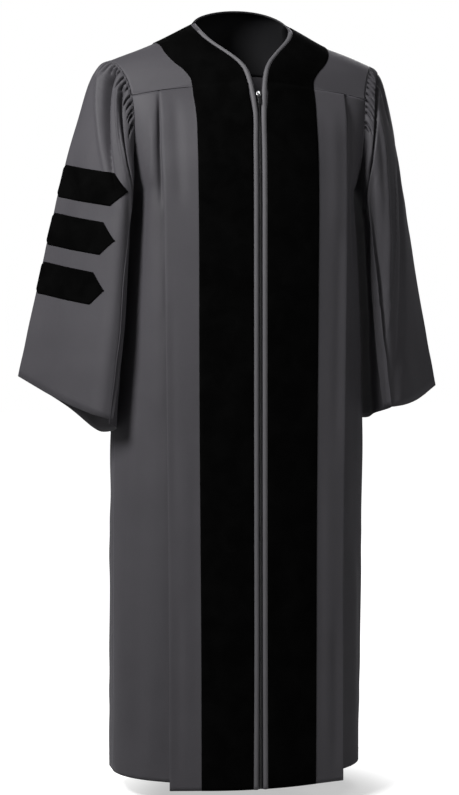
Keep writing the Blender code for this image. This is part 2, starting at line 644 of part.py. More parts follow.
def add_velvet(materials, collection, back_yoke):
    over = LAYER_GAP + VELVET_WALL
    front = moved(velvet_front_grid(), over)
    set_back(front[0], front[1], SEAM_SETBACK)
    set_back(front[:, 0], front[:, 1], LAYER_GAP)
    for name, side in SIDES.items():
        add_cloth(f"velvet_{name}", front, VELVET_WALL, materials["velvet"], collection, side)
    neck = back_neck_velvet_grid(back_yoke)
    add_cloth("velvet_back_neck", neck, VELVET_WALL, materials["velvet"], collection)


def back_neck_velvet_grid(back_yoke):
    """A band on the back yoke that follows the neck edge, as wide behind as on the shoulders."""
    out = moved(back_yoke, LAYER_GAP + VELVET_WALL)
    set_back(out[0], out[1], SEAM_SETBACK)
    across = np.abs(back_yoke_columns())
    return out[:BACK_VELVET_ROWS, across <= BACK_VELVET_SHARE]


def add_piping(materials, collection):
    grid = piping_grid()
    normals = grid_normals(grid)
    grid = grid + normals * np.array(PIPING_HEIGHTS)[None, :, None]
    set_back(grid[:, 0], grid[:, 1], LAYER_GAP)
    set_back(grid[:, 2], grid[:, 1], LAYER_GAP)
    for name, side in SIDES.items():
        add_cloth(f"piping_{name}", grid[PIPING_FIRST_ROW:], PIPING_WALL, materials["piping"], collection, side)


def add_zip(materials, collection):
    front = front_grid()[1:]
    edge = front[:, 0]
    centre = np.array([(0.0, y, z) for _, y, z in edge])
    centre = np.concatenate([[zip_centre(CHAIN_TOP_Z)], centre])
    chain = np.stack([centre + (x, 0, 0) for x in (-CHAIN_HALF_WIDTH, CHAIN_HALF_WIDTH)], axis=1)
    add_cloth(
        "zip_chain",
        moved(chain, CHAIN_FRONT),
        CHAIN_FRONT - CHAIN_BACK,
        materials["chain"],
        collection,
    )
    first = centre[0] + (front[0, 0:2] - centre[1])
    edges = np.concatenate([first[None], front[:, 0:2]])
    inner = centre + (TAPE_INNER_X, 0, 0)
    tape = np.concatenate([inner[:, None], edges], axis=1)
    tape = moved(tape, -CLOTH_WALL - LAYER_GAP)
    for name, side in SIDES.items():
        add_cloth(f"zip_tape_{name}", tape, TAPE_WALL, materials["tape"], collection, side)


def zip_centre(z):
    """The middle of the zip at a height above the first level row."""
    seam = np.array([0.0, FRONTS[0].centre_y, FRONT_SEAM_Z])
    below = front_grid()[1, 0] * (0, 1, 1)
    share = (z - seam[2]) / (below[2] - seam[2])
    return seam + (below - seam) * share


def zip_slope():
    """The lean of the zip's top from upright, in radians: its lower end lies further forward."""
    drop = zip_centre(FRONT_SEAM_Z) - zip_centre(CHAIN_TOP_Z)
    return math.atan2(drop[1], drop[2])


def add_box(name, half_x, along, out, material, collection, place):
    """A block given in the zip's own directions: along it upwards, and out from the cloth."""
    bpy.ops.mesh.primitive_cube_add(size=1)
    obj = bpy.context.object
    obj.name = name
    for vertex in obj.data.vertices:
        x, y, z = vertex.co
        vertex.co = (
            2 * x * half_x,
            -(out[0] + (y + 0.5) * (out[1] - out[0])),
            along[0] + (z + 0.5) * (along[1] - along[0]),
        )
    bmesh_fix(obj.data)
    obj.data.materials.append(material)
    move_to(obj, collection)
    obj.location = place
    obj.rotation_euler = (-zip_slope(), 0, 0)
    return obj


def bmesh_fix(mesh):
    form = bmesh.new()
    form.from_mesh(mesh)
    bmesh.ops.recalc_face_normals(form, faces=form.faces)
    form.to_mesh(mesh)
    form.free()


def move_to(obj, collection):
    for old in list(obj.users_collection):
        old.objects.unlink(obj)
    collection.objects.link(obj)


def combine(target, other, operation):
    modifier = target.modifiers.new(f"{operation.title()} {other.name}", "BOOLEAN")
    modifier.operation = operation
    modifier.object = other
    other.hide_render = True
    other.display_type = "WIRE"


def add_slider(materials, collection, helpers):
    place = zip_centre(SLIDER_Z)
    metal = materials["metal"]
    length = (-SLIDER_HALF_LENGTH, SLIDER_HALF_LENGTH)
    slider = add_box("zip_slider", SLIDER_HALF_WIDTH, length, SLIDER_FRONT_PLATE, metal, collection, place)
    plate = add_box("slider_back_plate", SLIDER_HALF_WIDTH, length, SLIDER_BACK_PLATE, metal, helpers, place)
    nose_along = (SLIDER_NOSE_START, SLIDER_HALF_LENGTH - JOINED_OVERLAP)
    nose_out = (SLIDER_BACK_PLATE[1] - JOINED_OVERLAP, SLIDER_FRONT_PLATE[0] + JOINED_OVERLAP)
    nose = add_box("slider_nose", SLIDER_NOSE_HALF_WIDTH, nose_along, nose_out, metal, helpers, place)
    arch_along = (-BRIDGE_HALF_LENGTH, BRIDGE_HALF_LENGTH)
    arch_out = (SLIDER_FRONT_PLATE[1] - JOINED_OVERLAP, BRIDGE_REACH)
    arch = add_box("slider_bridge", BRIDGE_HALF_WIDTH, arch_along, arch_out, metal, helpers, place)
    window_along = (-BRIDGE_HALF_LENGTH + BRIDGE_BAR, BRIDGE_HALF_LENGTH - BRIDGE_BAR)
    window_out = (SLIDER_FRONT_PLATE[1], BRIDGE_REACH - BRIDGE_BAR)
    window = add_box("bridge_window", 2 * BRIDGE_HALF_WIDTH, window_along, window_out, metal, helpers, place)
    combine(slider, nose, "UNION")
    combine(slider, plate, "UNION")
    combine(slider, arch, "UNION")
    combine(slider, window, "DIFFERENCE")


def add_pull_tab(materials, collection, helpers):
    """The tab hangs from its pin in the slider's bridge, and its origin lies on the pin's axis."""
    lean = zip_slope()
    up = np.array([0, math.sin(lean), math.cos(lean)])
    out = np.array([0, -math.cos(lean), math.sin(lean)])
    hinge = zip_centre(SLIDER_Z) + up * TAB_HINGE_ALONG + out * TAB_HINGE_OUT
    metal = materials["dark_metal"]
    thickness = (-TAB_HALF_THICKNESS, TAB_HALF_THICKNESS)
    tab = add_box("zip_pull_tab", TAB_HALF_WIDTH, (-TAB_LENGTH, 0.0), thickness, metal, collection, hinge)
    eye_along = (-TAB_EYE_LENGTH, TAB_EYE_MARGIN)
    eye_out = (-TAB_EYE_MARGIN, TAB_EYE_MARGIN)
    eye = add_box("tab_eye", TAB_EYE_HALF_WIDTH, eye_along, eye_out, metal, helpers, hinge)
    bpy.ops.mesh.primitive_cylinder_add(
        vertices=TAB_PIN_SIDES, radius=TAB_PIN_RADIUS, depth=2 * TAB_HALF_WIDTH, location=hinge
    )
    pin = bpy.context.object
    pin.name = "tab_pin"
    pin.rotation_euler = (0, math.pi / 2, 0)
    move_to(pin, helpers)
    combine(tab, eye, "DIFFERENCE")
    combine(tab, pin, "UNION")


def add_sleeves(materials, collection):
    for name, side in SIDES.items():
        grid = sleeve_grid(name)
        add_cloth(f"sleeve_{name}", grid, CLOTH_WALL, materials["cloth"], collection, side, closed=True)
        for number, top_z in enumerate(BAR_TOPS, 1):
            bar = bar_grid(name, top_z)
            add_cloth(f"bar_{name}_{number}", bar, VELVET_WALL, materials["velvet"], collection, side)


def main():
    clear_scene()
    collection = bpy.data.collections.new(PART_NAME)
    helpers = bpy.data.collections.new("cutters")
    bpy.context.scene.collection.children.link(collection)
    bpy.context.scene.collection.children.link(helpers)
    materials = {name: make_material(name) for name in COLOURS}
    add_fronts(materials, collection)
    add_yokes(materials, collection)
    back_yoke = add_backs(materials, collection)
    add_velvet(materials, collection, back_yoke)
    add_piping(materials, collection)
    add_zip(materials, collection)
    add_slider(materials, collection, helpers)
    add_pull_tab(materials, collection, helpers)
    add_sleeves(materials, collection)


main()
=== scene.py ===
from collections import namedtuple
import json
import math

import bmesh
import bpy
from mathutils import Matrix, Vector
import numpy as np


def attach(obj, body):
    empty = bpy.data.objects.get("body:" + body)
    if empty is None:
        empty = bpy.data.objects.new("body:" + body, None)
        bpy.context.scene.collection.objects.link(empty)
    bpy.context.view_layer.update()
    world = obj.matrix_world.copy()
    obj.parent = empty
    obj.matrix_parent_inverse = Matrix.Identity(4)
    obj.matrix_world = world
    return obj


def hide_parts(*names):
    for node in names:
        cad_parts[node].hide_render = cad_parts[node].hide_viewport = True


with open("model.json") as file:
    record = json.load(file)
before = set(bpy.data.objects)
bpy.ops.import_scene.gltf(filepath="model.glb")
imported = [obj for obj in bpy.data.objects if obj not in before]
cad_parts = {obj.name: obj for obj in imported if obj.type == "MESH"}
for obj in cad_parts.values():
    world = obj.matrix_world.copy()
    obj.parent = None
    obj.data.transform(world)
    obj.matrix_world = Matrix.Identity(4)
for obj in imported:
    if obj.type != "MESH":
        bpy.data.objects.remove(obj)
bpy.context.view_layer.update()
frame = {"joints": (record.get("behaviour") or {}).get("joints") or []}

# Metres, +Z up, the front faces -Y and the wearer's left is +X. Forms are made on the wearer's left and
# mirrored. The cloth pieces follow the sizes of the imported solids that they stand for.
SIDES = {"right": -1, "left": 1}
CLOTH_WALL, VELVET_WALL, LAYER_GAP = 0.0012, 0.0012, 0.0003
CLOTH_SHEET, VELVET_SHEET = 0.0006, 0.0010

Front = namedtuple(
    "Front",
    "z edge_x centre_y velvet_x velvet_y fold_x fold_y beside_y corner_x corner_y side_x side_y",
)
FRONTS = [
    Front(-0.117, 0.0078, -0.1220, 0.1090, -0.0904, 0.1660, -0.0880, -0.0835, 0.1900, -0.080, 0.2085, -0.072),
    Front(-0.150, 0.0036, -0.1340, 0.1073, -0.1100, 0.1665, -0.1010, -0.0960, 0.1890, -0.089, 0.2070, -0.072),
    Front(-0.210, 0.0033, -0.1400, 0.1075, -0.1270, 0.1667, -0.1090, -0.1030, 0.1900, -0.092, 0.2065, -0.060),
    Front(-0.275, 0.0033, -0.1430, 0.1075, -0.1325, 0.1650, -0.1170, -0.1060, 0.1930, -0.093, 0.2050, 0.000),
    Front(-0.380, 0.0033, -0.1440, 0.1070, -0.1345, 0.1640, -0.1195, -0.1055, 0.1990, -0.088, 0.2120, 0.003),
    Front(-0.520, 0.0033, -0.1450, 0.1067, -0.1335, 0.1625, -0.1205, -0.1020, 0.2070, -0.079, 0.2220, 0.004),
    Front(-0.690, 0.0033, -0.1460, 0.1060, -0.1325, 0.1610, -0.1215, -0.0960, 0.2150, -0.064, 0.2315, 0.008),
    Front(-0.870, 0.0033, -0.1475, 0.1050, -0.1335, 0.1595, -0.1225, -0.0890, 0.2195, -0.050, 0.2330, 0.016),
    Front(-1.090, 0.0033, -0.1495, 0.1043, -0.1365, 0.1585, -0.1245, -0.0805, 0.2220, -0.038, 0.2335, 0.022),
    Front(-1.332, 0.0042, -0.1500, 0.1040, -0.1370, 0.1587, -0.1260, -0.0720, 0.2225, -0.028, 0.2320, 0.028),
]
SEAM_LEVEL, UNDERARM_Z, HEM_Z = FRONTS[0].z, -0.275, FRONTS[-1].z
LEVEL_SEAM_END = -0.210
PLEAT_UNDERLAY, FOLD_RADIUS, LAYER_STEP, UNDERLAY_SHARE = 0.030, 0.0015, 0.0015, 0.85
PIPING_WIDTH = 0.0090
PLEAT_HOLLOW = 0.0065
FRONT_SEAM_Z, FRONT_SEAM_DROP = -0.0985, 0.0185
BACK_SEAM_Z, BACK_SEAM_DROP = -0.105, 0.012
ARM_CENTRE_Z, ARM_HALF_HEIGHT, ARM_HALF_WIDTH = -0.1635, 0.1115, 0.0720
ARM_TOP_X, ARM_LOW_X, ARM_X_FALL = 0.2380, 0.2060, 0.035
NECK_EDGE = [
    (0.0078, -0.1220, -0.0985),
    (0.0144, -0.1120, -0.0730),
    (0.0236, -0.0990, -0.0577),
    (0.0363, -0.0838, -0.0442),
    (0.0488, -0.0685, -0.0327),
    (0.0606, -0.0560, -0.0222),
    (0.0715, -0.0440, -0.0110),
    (0.0800, -0.0240, 0.0040),
    (0.0830, 0.0080, 0.0185),
]
VELVET_EDGE = [
    (0.1090, -0.0904, -0.1036),
    (0.1110, -0.0840, -0.0885),
    (0.1206, -0.0765, -0.0742),
    (0.1365, -0.0630, -0.0590),
    (0.1480, -0.0460, -0.0430),
    (0.1525, -0.0240, -0.0285),
    (0.1545, 0.0080, -0.0205),
]
SHOULDER_SEAM_Y, SHOULDER_CROWN = 0.0080, 0.0025
SHOULDER_ANGLE = -math.degrees(math.asin(SHOULDER_SEAM_Y / ARM_HALF_WIDTH))
BACK_NECK_HALF_WIDTH, BACK_NECK_DEPTH, BACK_NECK_RISE = 0.0830, 0.044, 0.0280
BACK_NECK_FULLNESS, BACK_NECK_LEAN = 1.20, 0.007
BACK_YOKE_NECK_SHARE, BACK_VELVET_SHARE, BACK_VELVET_DOWN = 0.44, 0.72, 0.5
YOKE_CROWN = 0.0032
Back = namedtuple("Back", "z centre_y fold")
BACKS = [
    Back(-0.105, 0.1160, 0.0000),
    Back(-0.140, 0.1230, 0.0005),
    Back(-0.210, 0.1320, 0.0020),
    Back(-0.275, 0.1370, 0.0038),
    Back(-0.390, 0.1440, 0.0060),
    Back(-0.520, 0.1520, 0.0080),
    Back(-0.870, 0.1760, 0.0120),
    Back(-1.332, 0.2080, 0.0170),
]
BACK_FOLDS, BACK_ROUNDNESS, BACK_FLATNESS = 6, 0.80, 2.4
FOLD_FADE, FOLD_UNEVENNESS, FOLD_UNEVEN_WAVES = 0.42, 0.6, 3.0
BACK_ROUND_FROM = -0.520
Guide = namedtuple("Guide", "share angle puff_x puff_y puff_z low_x low_y low_z cuff_x cuff_y cuff_z")
GUIDES = [
    Guide(0.00, 0, 0.047, 0.002, -0.008, 0.322, 0.030, -0.280, 0.396, 0.071, -0.611),
    Guide(0.12, 38, 0.042, -0.012, -0.008, 0.300, -0.014, -0.300, 0.350, 0.012, -0.640),
    Guide(0.24, 72, 0.034, -0.020, -0.008, 0.268, -0.056, -0.340, 0.304, -0.046, -0.663),
    Guide(0.33, 100, 0.020, -0.024, -0.010, 0.226, -0.092, -0.390, 0.266, -0.084, -0.678),
    Guide(0.38, 118, 0.008, -0.022, -0.018, 0.196, -0.095, -0.420, 0.245, -0.090, -0.686),
    Guide(0.43, 140, 0.010, -0.010, -0.018, 0.208, -0.068, -0.440, 0.2365, -0.068, -0.694),
    Guide(0.53, 180, 0.022, 0.000, -0.014, 0.240, 0.000, -0.450, 0.243, 0.010, -0.709),
    Guide(0.66, 218, 0.022, 0.012, -0.010, 0.247, 0.085, -0.440, 0.256, 0.100, -0.708),
    Guide(0.76, 256, 0.026, 0.028, -0.008, 0.262, 0.140, -0.380, 0.285, 0.165, -0.680),
    Guide(0.87, 312, 0.038, 0.018, -0.008, 0.300, 0.095, -0.310, 0.345, 0.130, -0.640),
]
GUIDES.append(GUIDES[0]._replace(share=1.00, angle=360))
SLEEVE_SEAM_GAP = 0.0009
Hang = namedtuple("Hang", "outer_drop inner_drop crease_out")
SLEEVE_HANG = {"right": Hang(0.0, 0.0, 0.004), "left": Hang(-0.0275, 0.020, -0.018)}
CUFF_OUTER_X, CUFF_INNER_X = 0.396, 0.236
BAR_TOPS = [-0.2338, -0.3181, -0.4046]
BAR_HEIGHT, BAR_HALF_LENGTH, BAR_POINT, BAR_SLOPE = 0.0564, 0.090, 0.0267, 0.146
BAR_CLEARANCE = 0.0006
BAR_END_SHARE = 0.04
BAR_TURN = {"right": -0.068, "left": 0.094}
CHAIN_TOP_Z, SLIDER_Z = -0.1180, -0.1160

# The camera, fitted to the photograph: where it stands, how it is turned and its lens.
CAMERA_PLACE, CAMERA_TURN, CAMERA_DOWN, CAMERA_LENS = (-0.8173, -3.4033, -0.4055), 13.157, 4.010, 87.734
FLOOR_Z = -1.372
ROOM_LIGHT = 0.06


def smooth_read(place, places, values):
    """A smooth curve through the values, read at one place or at several."""
    places = np.asarray(places, float)
    values = np.asarray(values, float)
    slopes = np.gradient(values, places, axis=0)
    place = np.clip(place, places[0], places[-1])
    index = np.clip(np.searchsorted(places, place, side="right") - 1, 0, len(places) - 2)
    span = places[index + 1] - places[index]
    t = (place - places[index]) / span
    shape = np.shape(t) + (1,) * (values.ndim - 1)
    t, span = np.reshape(t, shape), np.reshape(span, shape)
    return (
        (2 * t**3 - 3 * t**2 + 1) * values[index]
        + (t**3 - 2 * t**2 + t) * span * slopes[index]
        + (3 * t**2 - 2 * t**3) * values[index + 1]
        + (t**3 - t**2) * span * slopes[index + 1]
    )


def read_table(table, key, place):
    """A table's row at one place or at several, read smoothly."""
    rows = sorted(table, key=lambda row: getattr(row, key))
    places = [getattr(row, key) for row in rows]
    values = smooth_read(place, places, rows)
    return type(table[0])(*np.moveaxis(values, -1, 0))


def along_curve(points, share):
    points = np.asarray(points, float)
    lengths = line_lengths(points)
    return smooth_read(share * lengths[-1], lengths, points)


def smooth_step(value, start, end):
    t = np.clip((value - start) / (end - start), 0.0, 1.0)
    return t * t * (3 - 2 * t)


def arm_point(angle):
    z = ARM_CENTRE_Z + ARM_HALF_HEIGHT * math.cos(math.radians(angle))
    y = -ARM_HALF_WIDTH * math.sin(math.radians(angle))
    top_z = ARM_CENTRE_Z + ARM_HALF_HEIGHT
    x = ARM_LOW_X + (ARM_TOP_X - ARM_LOW_X) * math.exp(-(top_z - z) / ARM_X_FALL)
    return np.array([x, y, z])


def arm_angle_at(z):
    return math.degrees(math.acos(np.clip((z - ARM_CENTRE_Z) / ARM_HALF_HEIGHT, -1.0, 1.0)))


def front_seam_z(x):
    return FRONT_SEAM_Z - FRONT_SEAM_DROP * (x / ARM_LOW_X) ** 2


def back_seam_z(x):
    return BACK_SEAM_Z - BACK_SEAM_DROP * (x / ARM_LOW_X) ** 2


def level_z(x, level, seam_z):
    if level <= LEVEL_SEAM_END:
        return level + 0 * x
    share = (SEAM_LEVEL - level) / (SEAM_LEVEL - LEVEL_SEAM_END)
    return seam_z(x) + (LEVEL_SEAM_END - seam_z(x)) * share


def grid_normals(grid):
    down = np.gradient(grid, axis=0)
    across = np.gradient(grid, axis=1)
    normal = np.cross(down, across)
    return normal / np.maximum(np.linalg.norm(normal, axis=2)[:, :, None], 1e-12)


def moved(grid, distance):
    return grid + grid_normals(grid) * distance


def running_length(grid, axis):
    """The distance along a grid's rows (axis 1) or columns (axis 0) from its first line."""
    steps = np.linalg.norm(np.diff(grid, axis=axis), axis=2)
    start = np.zeros_like(np.take(steps, [0], axis=axis))
    return np.cumsum(np.concatenate([start, steps], axis=axis), axis=axis)


def line_lengths(line):
    """The distance along a line of points from its first one."""
    steps = np.linalg.norm(np.diff(line, axis=0), axis=1)
    return np.concatenate([[0.0], np.cumsum(steps)])


def read_line(place, places, line):
    """The point or the direction that a line has at a place along it."""
    return np.array([np.interp(place, places, line[:, axis]) for axis in range(3)])


def two_runs(first, middle, last, upper, lower):
    """Even steps from first to middle and on to last, each run with its own number of steps."""
    return np.concatenate([np.linspace(first, middle, upper + 1)[:-1], np.linspace(middle, last, lower)])


# A crease or ridge runs down a panel: the share across at its top and how that drifts to its bottom, both
# heights, its depth (below 0 for a trough), and its width. Sizes are in metres.
Crease = namedtuple("Crease", "share drift top bottom depth width")


def crease_depths(creases, shares, width, heights, fade=0.30):
    """How far creases move each point of a panel out, from its share across, its width and its height."""
    out = np.zeros(np.broadcast(shares, heights).shape)
    for crease in creases:
        down = (crease.top - heights) / (crease.top - crease.bottom)
        centre = crease.share + crease.drift * np.clip(down, 0, 1)
        inside = smooth_step(down, 0.0, fade) * (1 - smooth_step(down, 1 - fade, 1.0))
        distance = (shares - centre) * width / crease.width
        out = out + crease.depth * inside * np.exp(-(distance**2))
    return out


# The points of one level of a front: on the flat, round the pleat's fold, back under it and on the side.
FLAT_STEPS, FOLD_STEPS, SIDE_STEPS = 44, 8, 40
UNDER_SHARES, RETURN_SHARES = (0.33, 0.67, 1.0), (0.0, 0.4, 0.75)


def front_line(level):
    """One level of a front, and each point's share: 0 to 1 flat, up to 2 in the pleat, 2 to 3 beside."""
    row = read_table(FRONTS, "z", level)
    pleat_x = row.fold_x - PLEAT_UNDERLAY
    bow = (row.velvet_y - row.centre_y) / row.velvet_x**2

    def front_y(x):
        beyond = (x - row.velvet_x) / (row.fold_x - row.velvet_x)
        straight = row.velvet_y + (row.fold_y - row.velvet_y) * beyond
        return np.where(x <= row.velvet_x, row.centre_y + bow * x * x, straight)

    beside_y = row.beside_y + PLEAT_HOLLOW * smooth_step(SEAM_LEVEL - level, 0.0, 0.05)
    opening = beside_y - row.fold_y - 2 * FOLD_RADIUS - LAYER_STEP
    under_y = front_y(np.array(pleat_x)) + 2 * FOLD_RADIUS + opening * UNDERLAY_SHARE
    flat_x = np.linspace(row.edge_x, row.fold_x - FOLD_RADIUS, FLAT_STEPS)
    flat = np.stack([flat_x, front_y(flat_x)], 1)
    turn = np.linspace(0, math.pi, FOLD_STEPS + 1)[1:]
    fold_centre = np.array([row.fold_x - FOLD_RADIUS, row.fold_y + FOLD_RADIUS])
    fold = fold_centre + FOLD_RADIUS * np.stack([np.sin(turn), -np.cos(turn)], 1)
    start = np.array([row.fold_x - 2 * FOLD_RADIUS, beside_y])
    root = np.array([pleat_x, under_y])
    back_root = root + (0, LAYER_STEP)
    under = [fold[-1] + (root - fold[-1]) * share for share in UNDER_SHARES]
    under += [back_root + (start - back_root) * share for share in RETURN_SHARES]
    side = arm_point(arm_angle_at(level))[:2] if level > UNDERARM_Z else np.array([row.side_x, row.side_y])
    corner = np.array([row.corner_x, row.corner_y])
    t = np.linspace(0, 1, SIDE_STEPS)[:, None]
    beside = (1 - t) ** 2 * start + 2 * t * (1 - t) * corner + t * t * side
    plan = np.concatenate([flat, fold, under, beside])
    shares = np.concatenate(
        [np.linspace(0, 1, FLAT_STEPS), np.full(FOLD_STEPS, 1.2), np.full(len(under), 1.6), 2 + t[:, 0]]
    )
    z = level_z(plan[:, 0], level, front_seam_z)
    return np.column_stack([plan, z]), shares


FRONT_ROWS_ABOVE, FRONT_ROWS_BELOW = 21, 149
STRIP_WIDTH, SIDE_WIDTH, OFF_PANEL = 0.158, 0.100, 9.0
# Soft creases of the strip between the velvet and the pleat's fold, by their share from the zip's edge.
STRIP_CREASES = {
    "right": [
        Crease(0.86, -0.02, -0.100, -0.330, -0.0022, 0.010),
        Crease(0.94, 0.00, -0.420, -0.900, -0.0010, 0.008),
        Crease(0.82, 0.03, -0.640, -1.320, 0.0012, 0.014),
        Crease(0.90, 0.02, -0.960, -1.360, -0.0016, 0.010),
    ],
    "left": [
        Crease(0.84, 0.02, -0.105, -0.400, 0.0014, 0.012),
        Crease(0.92, -0.02, -0.300, -0.780, -0.0014, 0.009),
        Crease(0.80, 0.04, -0.700, -1.340, 0.0014, 0.015),
        Crease(0.90, 0.01, -1.000, -1.360, -0.0018, 0.011),
    ],
}
# Creases of the side panels, by their share from the pleat to the side seam.
SIDE_CREASES = {
    "right": [
        Crease(0.06, 0.02, -0.090, -0.330, -0.0050, 0.008),
        Crease(0.30, 0.10, -0.130, -0.420, 0.0022, 0.013),
        Crease(0.55, 0.10, -0.240, -0.640, -0.0026, 0.016),
        Crease(0.30, 0.06, -0.380, -0.960, -0.0022, 0.015),
        Crease(0.62, 0.10, -0.560, -1.330, 0.0034, 0.022),
        Crease(0.40, 0.04, -0.820, -1.340, -0.0030, 0.018),
        Crease(0.20, 0.02, -1.100, -1.345, 0.0024, 0.013),
    ],
    "left": [
        Crease(0.16, -0.02, -0.105, -0.280, 0.0020, 0.010),
        Crease(0.34, 0.08, -0.140, -0.460, -0.0026, 0.013),
        Crease(0.60, 0.06, -0.260, -0.680, 0.0028, 0.016),
        Crease(0.34, 0.10, -0.440, -1.020, -0.0028, 0.017),
        Crease(0.62, 0.02, -0.620, -1.330, -0.0030, 0.020),
        Crease(0.46, 0.06, -0.900, -1.340, 0.0032, 0.018),
        Crease(0.22, 0.00, -1.060, -1.345, -0.0022, 0.013),
    ],
}


def front_grid(name):
    """A front with its pleat and creases, from the yoke seam to the hem."""
    levels = two_runs(SEAM_LEVEL, LEVEL_SEAM_END, HEM_Z, FRONT_ROWS_ABOVE, FRONT_ROWS_BELOW)
    lines = [front_line(level) for level in levels]
    grid = np.array([line[0] for line in lines])
    shares = lines[0][1]
    normals = grid_normals(grid)
    heights = grid[:, :, 2]
    strip = np.where(shares <= 1, shares, OFF_PANEL)
    beside = np.where(shares >= 2, shares - 2, OFF_PANEL)
    out = crease_depths(STRIP_CREASES[name], strip, STRIP_WIDTH, heights)
    out += crease_depths(SIDE_CREASES[name], beside, SIDE_WIDTH, heights)
    out += cloth_waves(grid, 0.0004) * (shares > 2)
    edge = smooth_step(beside, 0.0, 0.04) * (1 - smooth_step(beside, 0.93, 1.0))
    out *= np.where(shares >= 2, edge, smooth_step(strip, 0.70, 0.78) * (shares <= 1))
    out *= smooth_step(-heights, 0.10, 0.125)
    return grid + normals * out[:, :, None]


def cloth_waves(grid, size):
    """A slight uneven wave all over the cloth."""
    x, y, z = np.moveaxis(grid, 2, 0)
    first = np.sin(23 * z + 31 * x + 2.0 * np.sin(9 * z + 17 * y))
    second = np.sin(57 * z - 44 * x + 36 * y + 1.7 * np.sin(21 * z))
    return size * (first + 0.6 * second)


def shoulder_point(along):
    neck_end, velvet_end = np.array(NECK_EDGE[-1]), np.array(VELVET_EDGE[-1])
    tip = arm_point(SHOULDER_ANGLE)
    places = [0.0, (velvet_end - neck_end)[0] / (tip - neck_end)[0], 1.0]
    point = smooth_read(along, places, [neck_end, velvet_end, tip])
    return point + np.array([0, 0, SHOULDER_CROWN * math.sin(math.pi * along)])


INNER_STEPS, OUTER_STEPS, YOKE_STEPS = 34, 26, 60
# The yoke's seam passes over the pleat's mouth, the side panel's first points.
PLEAT_MOUTH = 4


def yoke_grid():
    """Rows from the shoulder seam down to the front yoke seam, columns from the neck edge to the armhole."""
    front_angle = arm_angle_at(SEAM_LEVEL)
    seam, _ = front_line(SEAM_LEVEL)
    outside = np.concatenate([seam[: FLAT_STEPS + 1], seam[PLEAT_MOUTH - SIDE_STEPS :]])
    rows = []
    lift = None
    for share in np.linspace(1, 0, YOKE_STEPS):
        neck = along_curve(NECK_EDGE, share)
        velvet = along_curve(VELVET_EDGE, share)
        arm = arm_point(front_angle + (SHOULDER_ANGLE - front_angle) * share)
        piping_share = PIPING_WIDTH / np.linalg.norm(velvet - neck)
        inner = np.concatenate([[0.0], np.linspace(piping_share, 1, INNER_STEPS - 1)])
        outer = np.linspace(0, 1, OUTER_STEPS)[1:]
        under_velvet = neck + (velvet - neck) * inner[:, None]
        row = np.concatenate([under_velvet, velvet + (arm - velvet) * outer[:, None]])
        if lift is None:
            along = (row[:, 0] - neck[0]) / (arm - neck)[0]
            lift = np.array([shoulder_point(place) for place in along]) - row
        row += lift * share**2
        crown = np.concatenate([0.8 * np.sin(math.pi * inner), np.sin(math.pi * outer)])
        row[:, 2] += YOKE_CROWN * crown * math.sin(math.pi * share)
        rows.append(row)
    grid = np.array(rows)
    xs = grid[-1, :, 0]
    grid[-1, :, 1] = np.interp(xs, outside[:, 0], outside[:, 1])
    grid[-1, :, 2] = front_seam_z(xs)
    grid[-1, -1] = arm_point(front_angle)
    return grid


def back_neck_point(share):
    angle = math.pi * share
    behind = max(math.sin(angle), 0.0)
    return np.array(
        [
            BACK_NECK_HALF_WIDTH * math.cos(angle) + BACK_NECK_LEAN * behind**2,
            SHOULDER_SEAM_Y + BACK_NECK_DEPTH * behind,
            NECK_EDGE[-1][2] + BACK_NECK_RISE * behind**BACK_NECK_FULLNESS,
        ]
    )


def back_plan(across, level):
    centre_y = read_table(BACKS, "z", level).centre_y
    if level > UNDERARM_Z:
        side_x, side_y, _ = arm_point(-arm_angle_at(level))
    else:
        row = read_table(FRONTS, "z", level)
        side_x, side_y = row.side_x, row.side_y
    turn = across * math.pi / 2
    x = side_x * np.sin(turn) ** BACK_ROUNDNESS
    flat = 1 - (x / side_x) ** BACK_FLATNESS
    rounded = np.maximum(np.cos(turn), 0.0) ** BACK_ROUNDNESS
    share = smooth_step(-level, -UNDERARM_Z, -BACK_ROUND_FROM)
    y = side_y + (centre_y - side_y) * (flat + (rounded - flat) * share)
    return np.stack([x, y, level_z(x, level, back_seam_z)], -1)


BACK_YOKE_STEPS, BACK_YOKE_SHARES = 44, two_runs(1, BACK_YOKE_NECK_SHARE, 0, 25, 26)


def back_yoke_grid():
    """Rows from the neck and shoulder seams to the back yoke seam, columns from the left to the right."""
    end_angle = -arm_angle_at(SEAM_LEVEL)
    shares = np.concatenate([BACK_YOKE_SHARES, -BACK_YOKE_SHARES[-2::-1]])
    rows = []
    for turn in np.linspace(0, math.pi / 2, BACK_YOKE_STEPS):
        row = []
        for share in shares:
            side = 1 if share >= 0 else -1
            across = abs(share)
            if across <= BACK_YOKE_NECK_SHARE:
                top = back_neck_point(0.5 - 0.5 * side * across / BACK_YOKE_NECK_SHARE) * (side, 1, 1)
            else:
                top = shoulder_point((across - BACK_YOKE_NECK_SHARE) / (1 - BACK_YOKE_NECK_SHARE))
            low = back_plan(np.array(across), SEAM_LEVEL)
            x = top[0] + (low[0] - top[0]) * (1 - math.cos(turn))
            y = top[1] + (low[1] - top[1]) * math.sin(turn)
            z = low[2] + (top[2] - low[2]) * math.cos(turn)
            if across == 1.0:
                x, y, z = arm_point(SHOULDER_ANGLE + (end_angle - SHOULDER_ANGLE) * turn / (math.pi / 2))
            row.append((side * x, y, z))
        rows.append(row)
    return np.array(rows), shares


